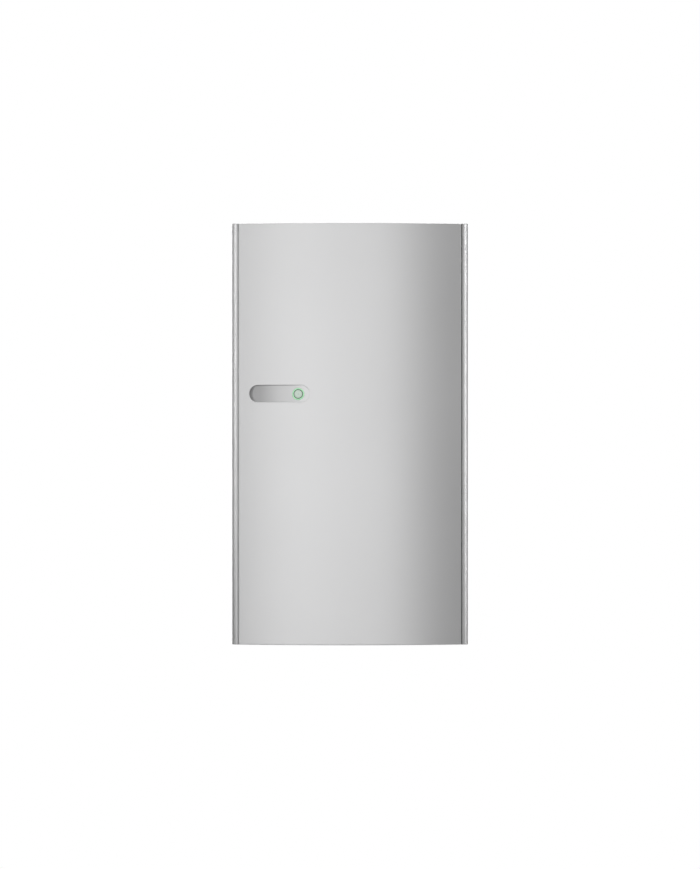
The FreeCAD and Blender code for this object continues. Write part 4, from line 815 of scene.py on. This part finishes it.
def spread_from_pill(x, z):
    """Move a point near the recess's outline outwards by up to the wall's thickness."""
    away = pill_distance(x, z)
    if away >= PILL_OUTER or away < -DRAFT - FOOT_R * 1.01:
        return x, z
    if away <= RIM_R:
        moved = away + WALL
    else:
        moved = RIM_R + WALL + (away - RIM_R) * (PILL_OUTER - RIM_R - WALL) / (PILL_OUTER - RIM_R)
    hub_x = PILL_X + max(-PILL_REACH, min(PILL_REACH, x - PILL_X))
    out = Vector((x - hub_x, z - PILL_Z)).normalized()
    return x + out.x * (moved - away), z + out.y * (moved - away)


def pill_loop(away):
    """Points round the recess at a distance from its outline, as (along, z)."""
    return [(along_of(x), z) for x, z in round_ended(PILL_X, PILL_Z, PILL_REACH, 0.0, PILL_R + away, 28)]


def light_loop():
    """The status light's hole, as (along, z)."""
    return [(along_of(x), z) for x, z in arc(LIGHT_X, LIGHT_Z, LIGHT_R, 0.0, math.tau, 48)[:-1]]


def window_loop():
    """The switch window's outline, a square with round corners, as (along, z) on the right side."""
    low = (WINDOW_Y - WINDOW_HALF, WINDOW_Z - WINDOW_HALF)
    high = (WINDOW_Y + WINDOW_HALF, WINDOW_Z + WINDOW_HALF)
    return [(WRAP_LONG + REAR + y, z) for y, z in round_outline(low, high, WINDOW_CORNER, 0.0)]


def notch_path(side):
    """The notch's edge from one place on the rear edge round to the other, as (along, z)."""
    points = [(0.0, NOTCH_Z - NOTCH_R)]
    points += arc(-REAR - NOTCH_Y, NOTCH_Z, NOTCH_R, -math.pi / 2, math.pi, 24)
    points += [(0.0, NOTCH_Z + NOTCH_R)]
    return [(deep if side < 0 else WRAP_LONG - deep, z) for deep, z in points]


def in_notch(along, z):
    deep = min(along, WRAP_LONG - along)
    past = max(deep - (-REAR - NOTCH_Y), 0.0)
    return deep < SIDE_LONG and math.hypot(past, z - NOTCH_Z) < NOTCH_R


def in_window(along, z):
    y = -REAR - (WRAP_LONG - along)
    inner = WINDOW_HALF - WINDOW_CORNER
    out_y = max(abs(y - WINDOW_Y) - inner, 0.0)
    out_z = max(abs(z - WINDOW_Z) - inner, 0.0)
    return along > WRAP_LONG / 2 and math.hypot(out_y, out_z) < WINDOW_CORNER


def in_light(along, z):
    (x, _), _ = wrap_point(along)
    return math.hypot(x - LIGHT_X, z - LIGHT_Z) < LIGHT_R


def wrap_columns():
    """Where the wrap has upright mesh lines: close together on the creases and noses, wider on the face."""
    crease = along_of(HALF - CREASE_IN) - WRAP_LONG / 2
    left = [0.0, SIDE_LONG * 0.5, SIDE_LONG - 3 * MM]
    left += [SIDE_LONG + NOSE_LONG * step / 14 for step in range(15)]
    start = WRAP_LONG / 2 - crease
    groove = (0.2, 0.45, 0.65, 0.78, 0.86, 0.905, 0.92, 1.0, 1.1, 1.25)
    left += sorted(start + step * side * CREASE_HALF for step in groove for side in (-1, 1)) + [start]
    left = sorted(left) + [start + 3.5 * MM]
    last = start + 7.0 * MM
    count = 44
    face = [last + (WRAP_LONG / 2 - last) * step / count for step in range(1, count + 1)]
    half = left + face
    return half + [WRAP_LONG - along for along in reversed(half[:-1])]


def wrap_rows():
    """Where the wrap has level mesh lines: on its rounded edges, with one more to hold the flat."""
    rounds = [TOP - EDGE_R + EDGE_R * math.sin(math.pi / 2 * step / 7) for step in range(8)]
    return [EDGE_HOLD] + rounds


class Flat:
    """Points and edges of a flat drawing, to be cut into triangles."""

    def __init__(self):
        self.points = []
        self.edges = []

    def path(self, points, closed=False):
        first = len(self.points)
        self.points += [Vector(point) for point in points]
        last = len(self.points)
        self.edges += [(index, index + 1) for index in range(first, last - 1)]
        if closed:
            self.edges.append((last - 1, first))

    def triangles(self, keep):
        made = delaunay_2d_cdt(self.points, self.edges, [], 0, 1e-7, False)
        faces = []
        for face in made[2]:
            middle = sum((made[0][index] for index in face), Vector((0, 0))) / len(face)
            if keep(middle.x, middle.y):
                faces.append(tuple(face))
        return made[0], faces


def wrap_flat():
    """The wrap rolled out flat: along its outline by height."""
    flat = Flat()
    rows = wrap_rows()
    columns = wrap_columns()
    levels = [-row for row in reversed(rows)] + rows
    for along in columns:
        flat.path([(along, -TOP), (along, TOP)])
    for level in levels:
        flat.path([(columns[0], level), (columns[-1], level)])
    face_low = SIDE_LONG + NOSE_LONG + 8 * MM
    for level in (PILL_Z - PILL_R - 12 * MM, PILL_Z + PILL_R + 12 * MM):
        flat.path([(face_low, level), (along_of(-60 * MM), level)])
    turns = [RIM_R * (1 - math.sin(math.radians(angle))) for angle in (0, 18, 36, 54, 72, 90)]
    feet = [-DRAFT - FOOT_R * (1 - math.cos(math.radians(angle))) for angle in (0, 25, 45, 65, 90)]
    for away in [PILL_OUTER, 2.5 * MM] + turns + feet + [-DRAFT - FOOT_R - 1.5 * MM]:
        flat.path(pill_loop(away), closed=True)
    flat.path(light_loop(), closed=True)
    flat.path(window_loop(), closed=True)
    for side in (-1, 1):
        flat.path(notch_path(side))
    return flat.triangles(lambda along, z: not (in_notch(along, z) or in_window(along, z)
                                                or in_light(along, z)))


def vent_loops():
    reach = VENT_LONG / 2 - VENT_R
    middles = [VENT_PITCH * (number - (VENT_COUNT - 1) / 2) for number in range(VENT_COUNT)]
    return [round_ended(x, VENT_Y, 0.0, reach, VENT_R, 8) for x in middles]


def in_vent(x, y):
    number = round(x / VENT_PITCH)
    if abs(number) > (VENT_COUNT - 1) / 2:
        return False
    past = max(abs(y - VENT_Y) - (VENT_LONG / 2 - VENT_R), 0.0)
    return math.hypot(x - number * VENT_PITCH, past) < VENT_R


def in_outline(outline, x, y):
    """Whether a point is inside a closed outline."""
    inside = False
    for (x1, y1), (x2, y2) in zip(outline, outline[1:] + outline[:1]):
        if (y1 > y) != (y2 > y) and x < x1 + (y - y1) * (x2 - x1) / (y2 - y1):
            inside = not inside
    return inside


def cap_faces(outline):
    """A flat end with its vents: points as (x, y), and triangles."""
    flat = Flat()
    flat.path(outline, closed=True)
    for loop in vent_loops():
        flat.path(loop, closed=True)
    return flat.triangles(lambda x, y: in_outline(outline, x, y) and not in_vent(x, y))


def make_cover(material):
    """The cover as one closed shell: the wrap, its inside, two vented ends, and the walls of every hole."""
    work = bmesh.new()
    flat_points, flat_faces = wrap_flat()
    outer = [work.verts.new(outer_point(point.x, point.y)) for point in flat_points]
    inner = [work.verts.new(inner_point(point.x, point.y)) for point in flat_points]
    for face in flat_faces:
        work.faces.new([outer[index] for index in face])
        work.faces.new([inner[index] for index in reversed(face)])
    uses = dict.fromkeys(pair for face in flat_faces for pair in zip(face, face[1:] + face[:1]))
    ends = {-1: [], 1: []}
    for one, two in uses:
        if (two, one) in uses:
            continue
        level = [flat_points[one].y, flat_points[two].y]
        if min(abs(level[0]), abs(level[1])) > TOP - 1e-6:
            ends[1 if level[0] > 0 else -1].append((one, two))
            continue
        work.faces.new([outer[two], outer[one], inner[one], inner[two]])
    for edges in ends.values():
        close_end(work, edges, flat_points)
    mesh = closed_mesh(work, "front_cover", 2e-6)
    piece = finish_piece("front_cover", mesh, material, "cover", 38.0)
    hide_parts("cover_shell")
    return piece


def close_end(work, edges, flat_points):
    """One vented end: its outer face, its inner face, the vents' walls and its rear edge."""
    order = sorted({index for edge in edges for index in edge}, key=lambda index: flat_points[index].x)
    levels = []
    for shape in (outer_point, inner_point):
        rim = [shape(flat_points[index].x, flat_points[index].y) for index in order]
        outline = [(point.x, point.y) for point in rim]
        points, faces = cap_faces(outline)
        height = rim[0].z
        made = [work.verts.new((point.x, point.y, height)) for point in points]
        for face in faces:
            work.faces.new([made[index] for index in face])
        levels.append((rim, height))
    (outer_rim, high), (inner_rim, low) = levels
    for loop in vent_loops():
        top = [work.verts.new((x, y, high)) for x, y in loop]
        bottom = [work.verts.new((x, y, low)) for x, y in loop]
        for index in range(len(loop)):
            after = (index + 1) % len(loop)
            work.faces.new([top[index], top[after], bottom[after], bottom[index]])
    rear = [work.verts.new(point) for point in (outer_rim[0], outer_rim[-1], inner_rim[-1], inner_rim[0])]
    work.faces.new(rear)


# ---------------------------------------------------------------- status light

def light_axis():
    """The status light's own frame: it sits on the recess floor and leans with it."""
    lean = math.asin((FLOOR_X - LIGHT_X) / FLOOR_R)
    origin = Vector((LIGHT_X, floor_y(LIGHT_X), LIGHT_Z))
    out = Vector((-math.sin(lean), -math.cos(lean), 0.0))
    up = Vector((0, 0, 1))
    across = up.cross(out).normalized()
    return Matrix.Translation(origin) @ Matrix((across, up, out)).transposed().to_4x4()


def turned(name, profile, material, body, steps=96):
    """A turned piece from a closed profile of (radius, height) in mm about the status light's axis."""
    axis = light_axis()
    points = []
    for step in range(steps):
        turn = math.tau * step / steps
        for radius, height in profile:
            points.append(axis @ (Vector((radius * math.cos(turn), radius * math.sin(turn), height)) * MM))
    count = len(profile)
    faces = []
    for step in range(steps):
        here, there = step * count, (step + 1) % steps * count
        for index in range(count):
            follow = (index + 1) % count
            faces.append((here + index, here + follow, there + follow, there + index))
    return finish_piece(name, skinned(name, points, faces), material, body, 50.0)


def make_status_light(finishes):
    """The ring with its front lip, the dark seal inside it, and the domed disc."""
    origin = tuple(light_axis().translation)
    glow = lit_lens("status_ring_glow", (0.40, 0.66, 0.44), (0.26, 0.62, 0.32), 10.8 * MM, 14.0 * MM,
                    origin, 0.45)
    disc = lit_lens("status_disc_lens", (0.58, 0.64, 0.59), (0.45, 0.66, 0.50), 0.0, 9.6 * MM, origin, 0.24)
    base = -3.0
    rim = [(11.85, base), (14.0, base), (14.0, 0.1), (13.8, 0.5), (13.3, 0.7), (11.3, 0.7), (10.9, 0.5),
           (10.8, 0.2), (11.85, 0.1)]
    ring = turned("status_ring", rim, glow, "cover")
    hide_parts("status_light_ring")
    inner, outer, corner = 9.65, 11.8, 0.3
    lips = arc(outer - corner, -corner, corner, 0.0, math.pi / 2, 4)
    lips += arc(inner + corner, -corner, corner, math.pi / 2, math.pi / 2, 4)
    seal = turned("status_seal", [(inner, base), (outer, base)] + lips, finishes["seal_rubber"], "cover")
    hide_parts("status_light_seal")
    dome = [(0.0, base), (9.6, base), (9.6, -0.2), (9.45, 0.1), (9.1, 0.3), (6.5, 0.55), (3.0, 0.7),
            (0.0, 0.75)]
    button = turned("status_disc", dome, disc, "cover")
    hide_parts("status_light_disc")


# ---------------------------------------------------------------- the unit behind the cover

SOFT_EDGES = {
    "notch_filler": 0.3, "cover_sockets": 0.5, "light_pipe": 0.15, "switch_handle": 0.9, "wall_bracket": 0.5,
    "hang_hooks": 0.6, "chassis": 0.5, "cover_studs": 0.4, "pack_housing": 0.8, "pack_lid": 0.6,
    "battery_cells": 0.8, "cell_terminals": 0.5, "end_plates": 0.6, "tie_straps": 0.2,
    "cell_holder_plate": 0.3, "busbars": 0.3, "battery_board": 0.15, "main_contactor": 0.8, "main_fuse": 0.5,
    "breather_vent": 0.6, "board_standoffs": 0.2, "board_chips": 0.25, "inverter_carrier": 0.5,
    "cable_plugs": 0.8, "cable_glands": 0.5,
    "status_board_stand": 0.3, "status_board": 0.15, "status_lamp": 0.6,
    "lifting_grips": 1.0, "wiring_box": 0.6, "wiring_lid": 0.6, "terminal_block": 0.4,
    "ground_bar": 0.4, "control_board": 0.15, "control_plugs": 0.4, "conduit_plug": 0.7, "switch_body": 0.5,
    "switch_plate": 0.4,
}


def make_inverters(finishes):
    """Six cast cases on foot plates, each with its bank of fins."""
    fins = fin_pattern()
    casting = finishes["inverter_casting"]
    for number in range(1, 7):
        node = "microinverter_%d" % number
        low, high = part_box(node)
        middle = (low + high) / 2
        foot_front = high.y - 4 * MM
        case_front = low.y + 10 * MM
        foot = cast_block((low.x, low.z), (high.x, high.z), high.y, foot_front, 7 * MM, 0.1 * MM, 0.8 * MM)
        case_low, case_high = (low.x, low.z + 12 * MM), (high.x, high.z - 12 * MM)
        case = cast_block(case_low, case_high, foot_front + 0.5 * MM, case_front, 6 * MM, 0.6 * MM, 2.5 * MM)
        panel_low = (low.x + 5 * MM, case_low[1] + 5.5 * MM)
        panel_high = (high.x - 5 * MM, case_high[1] - 5.5 * MM)
        panel = cast_block(panel_low, panel_high, case_front + 1 * MM, case_front - 0.6 * MM,
                           4 * MM, 0.1 * MM,
                           0.4 * MM)
        piece = block_piece("inverter_case_%d" % number, [foot, case, panel],
                            casting, "base")
        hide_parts(node)
        bank = fins.grown("inverter_fins_%d" % number, [Vector((middle.x, case_front - 0.4 * MM, middle.z))],
                          casting, "base", "inverter_casting", Fins=12, Pitch=(high.x - low.x - 19 * MM) / 11,
                          Thick=3 * MM, Tall=9.4 * MM, Long=high.z - low.z - 38 * MM, Taper=0.4, Rake=6 * MM)
        bank.data.set_sharp_from_angle(angle=math.radians(20))


def make_screws(finishes):
    tree = screw_pattern()
    zinc = finishes["zinc_steel"]
    set_screws(tree, "lid_screws", "lid_screw_set", zinc, "zinc_steel", 2.6 * MM, 2.4 * MM)
    set_screws(tree, "inverter_screws", "inverter_screw_set", zinc, "zinc_steel", 3.2 * MM, 3.0 * MM)


def make_ties(finishes):
    """Ties that gather the upright cables against the carrier."""
    tree = tie_pattern()
    for cable, heights in (("battery_cable", (-30, 25, 75, 190, 235, 285)), ("grid_cable", (190, 235, 285))):
        low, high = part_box(cable)
        seats = [Vector(((low.x + high.x) / 2, (low.y + high.y) / 2, height * MM)) for height in heights]
        radius = (high.x - low.x) / 2
        tree.grown(cable + "_ties", seats, finishes["black_plastic"], "base", "black_plastic",
                   Band_Radius=radius + 0.5 * MM, Band_Wide=4.5 * MM, Band_Thick=1.2 * MM)


# ---------------------------------------------------------------- all finishes by slot

def make_finishes():
    lens = Finish("clear_light_pipe", transmission_weight=0.85, ior=1.49)
    lens.feed("Base Color", lens.blend(lens.noise(40.0), (0.80, 0.88, 0.84, 1), (0.88, 0.93, 0.90, 1)))
    lens.feed("Roughness", 0.12 + lens.noise(300.0) * 0.15)
    return {
        "galvanised_steel": galvanised(),
        "chassis_paint": powder_coat("chassis_powder_coat", (0.055, 0.058, 0.062)),
        "silver_paint": satin_paint(),
        "cast_aluminium": cast_metal("blasted_aluminium", (0.50, 0.51, 0.52)),
        "lid_paint": powder_coat("lid_powder_coat", (0.085, 0.088, 0.095)),
        "inverter_casting": cast_metal("inverter_casting", (0.22, 0.225, 0.235), 0.42),
        "zinc_steel": brushed("zinc_plated_steel", (0.60, 0.61, 0.60)),
        "cell_film": cell_film(),
        "copper": brushed("bare_copper", (0.72, 0.34, 0.22), "z"),
        "tinned_pole": brushed("turned_aluminium", (0.70, 0.71, 0.72)),
        "brass": brushed("machined_brass", (0.72, 0.52, 0.22)),
        "board_green": board_mask(),
        "black_plastic": moulded("black_moulding", (0.018, 0.018, 0.020)),
        "grey_plastic": moulded("grey_moulding", (0.42, 0.43, 0.44)),
        "white_plastic": moulded("white_moulding", (0.70, 0.70, 0.68)),
        "seal_rubber": soft_rubber("black_seal", (0.022, 0.022, 0.024)),
        "pad_silicone": soft_rubber("heat_pad", (0.36, 0.44, 0.52)),
        "cable_jacket": soft_rubber("cable_jacket", (0.020, 0.020, 0.022)),
        "ring_glow": lens.material,
        "lens_disc": lens.material,
        "ceramic_body": moulded("fuse_ceramic", (0.70, 0.68, 0.62), 0.2, 600.0, 0.00003),
        "handle_red": moulded("red_handle", (0.42, 0.022, 0.018), 0.35),
    }


def dress_nodes(finishes):
    """Give every CAD node that stays in view its slot's finish."""
    for name, node in NODES.items():
        node.data.materials.clear()
        node.data.materials.append(finishes[slot_of_node(name)])


# ---------------------------------------------------------------- stage, lights and camera

def glow_panel(name, azimuth, away, height, size, energy):
    """An upright soft panel that faces the unit. azimuth is in degrees to the right of straight in front."""
    lamp = bpy.data.lights.new(name, "AREA")
    lamp.shape = "RECTANGLE"
    lamp.size, lamp.size_y = size
    lamp.energy = energy
    holder = linked(name, lamp)
    turn = math.radians(azimuth)
    holder.location = (away * math.sin(turn), -away * math.cos(turn), height)
    holder.rotation_euler = (math.radians(90), 0, turn)
    holder.visible_camera = False
    return holder


def make_stage():
    """A round pale floor below the unit, and soft panels."""
    work = bmesh.new()
    bmesh.ops.create_circle(work, cap_ends=True, segments=96, radius=1.5)
    mesh = bpy.data.meshes.new("studio_floor")
    work.to_mesh(mesh)
    work.free()
    floor = linked("studio_floor", mesh)
    floor.location = (0.0, 0.0, -1.3)
    pale = Finish("pale_floor")
    pale.feed("Base Color", pale.blend(pale.noise(3.0), (0.86, 0.86, 0.86, 1), (0.90, 0.90, 0.90, 1)))
    pale.feed("Roughness", 0.7 + pale.noise(40.0) * 0.1)
    mesh.materials.append(pale.material)
    glow_panel("front_left", -26, 5.0, 0.1, (1.0, 3.4), 12.8)
    glow_panel("front_key", -14, 5.0, 0.1, (1.0, 3.4), 19.0)
    glow_panel("front_middle", -2, 5.0, 0.1, (1.0, 3.4), 12.8)
    glow_panel("front_right", 10, 5.0, 0.1, (1.0, 3.4), 17.7)
    glow_panel("front_fill", 22, 5.0, 0.1, (1.0, 3.4), 1.0)
    glow_panel("left_front", -52, 2.6, 0.62, (0.5, 2.0), 11.2)
    glow_panel("left_strip", -78, 2.6, 0.62, (0.5, 2.0), 7.0)
    glow_panel("right_front", 52, 2.6, 0.62, (0.5, 2.0), 8.5)
    glow_panel("right_strip", 78, 2.6, 0.40, (0.5, 2.2), 15.8)
    glow_panel("right_rear", 112, 2.6, 0.40, (0.5, 2.2), 3.0)
    glow_panel("rear_left", -150, 3.0, 0.3, (1.2, 2.4), 26.0)
    glow_panel("rear_right", 160, 3.0, 0.3, (1.2, 2.4), 20.0)
    ceiling = glow_panel("ceiling", 0, 0.0, 2.4, (2.8, 2.8), 60.0)
    ceiling.rotation_euler = (0, 0, 0)


def make_surround():
    """White to the eye, and dimmer as a light, so that the panels shape the unit."""
    world = bpy.data.worlds.new("studio_surround")
    bpy.context.scene.world = world
    world.use_nodes = True
    world.node_tree.nodes.clear()
    graph = Graph(world.node_tree)
    white = (1, 1, 1, 1)
    lit = graph.node("ShaderNodeBackground", None, {"Color": white, "Strength": 0.10})
    seen = graph.node("ShaderNodeBackground", None, {"Color": white, "Strength": 1.0})
    to_eye = graph.node("ShaderNodeLightPath", output="Is Camera Ray")
    both = graph.node("ShaderNodeMixShader", None, {0: to_eye, 1: lit, 2: seen})
    graph.tree.links.new(both.socket, graph.tree.nodes.new("ShaderNodeOutputWorld").inputs[0])


def make_camera():
    """Straight on, from far enough that the bowed face hardly spreads."""
    away = 8.1
    frame_tall = 2.02
    face = CAD_BOX[0].y + 20 * MM
    camera = bpy.data.cameras.new("studio_camera")
    camera.sensor_width = 36.0
    camera.lens = camera.sensor_width / 2 / (frame_tall / 2 / away)
    camera.clip_end = 100.0
    holder = linked("studio_camera", camera)
    holder.location = (0.0, face - away, -1 * MM)
    holder.rotation_euler = (math.radians(90), 0, 0)
    bpy.context.scene.camera = holder


def set_colour():
    view = bpy.context.scene.view_settings
    view.view_transform = "Standard"
    view.look = "None"


FINISHES = make_finishes()
dress_nodes(FINISHES)
make_cover(FINISHES["silver_paint"])
make_status_light(FINISHES)
for node_name, edge_width in SOFT_EDGES.items():
    softened(node_name, edge_width * MM, FINISHES)
make_inverters(FINISHES)
make_screws(FINISHES)
make_ties(FINISHES)
make_stage()
make_surround()
make_camera()
set_colour()

bpy.context.view_layer.update()
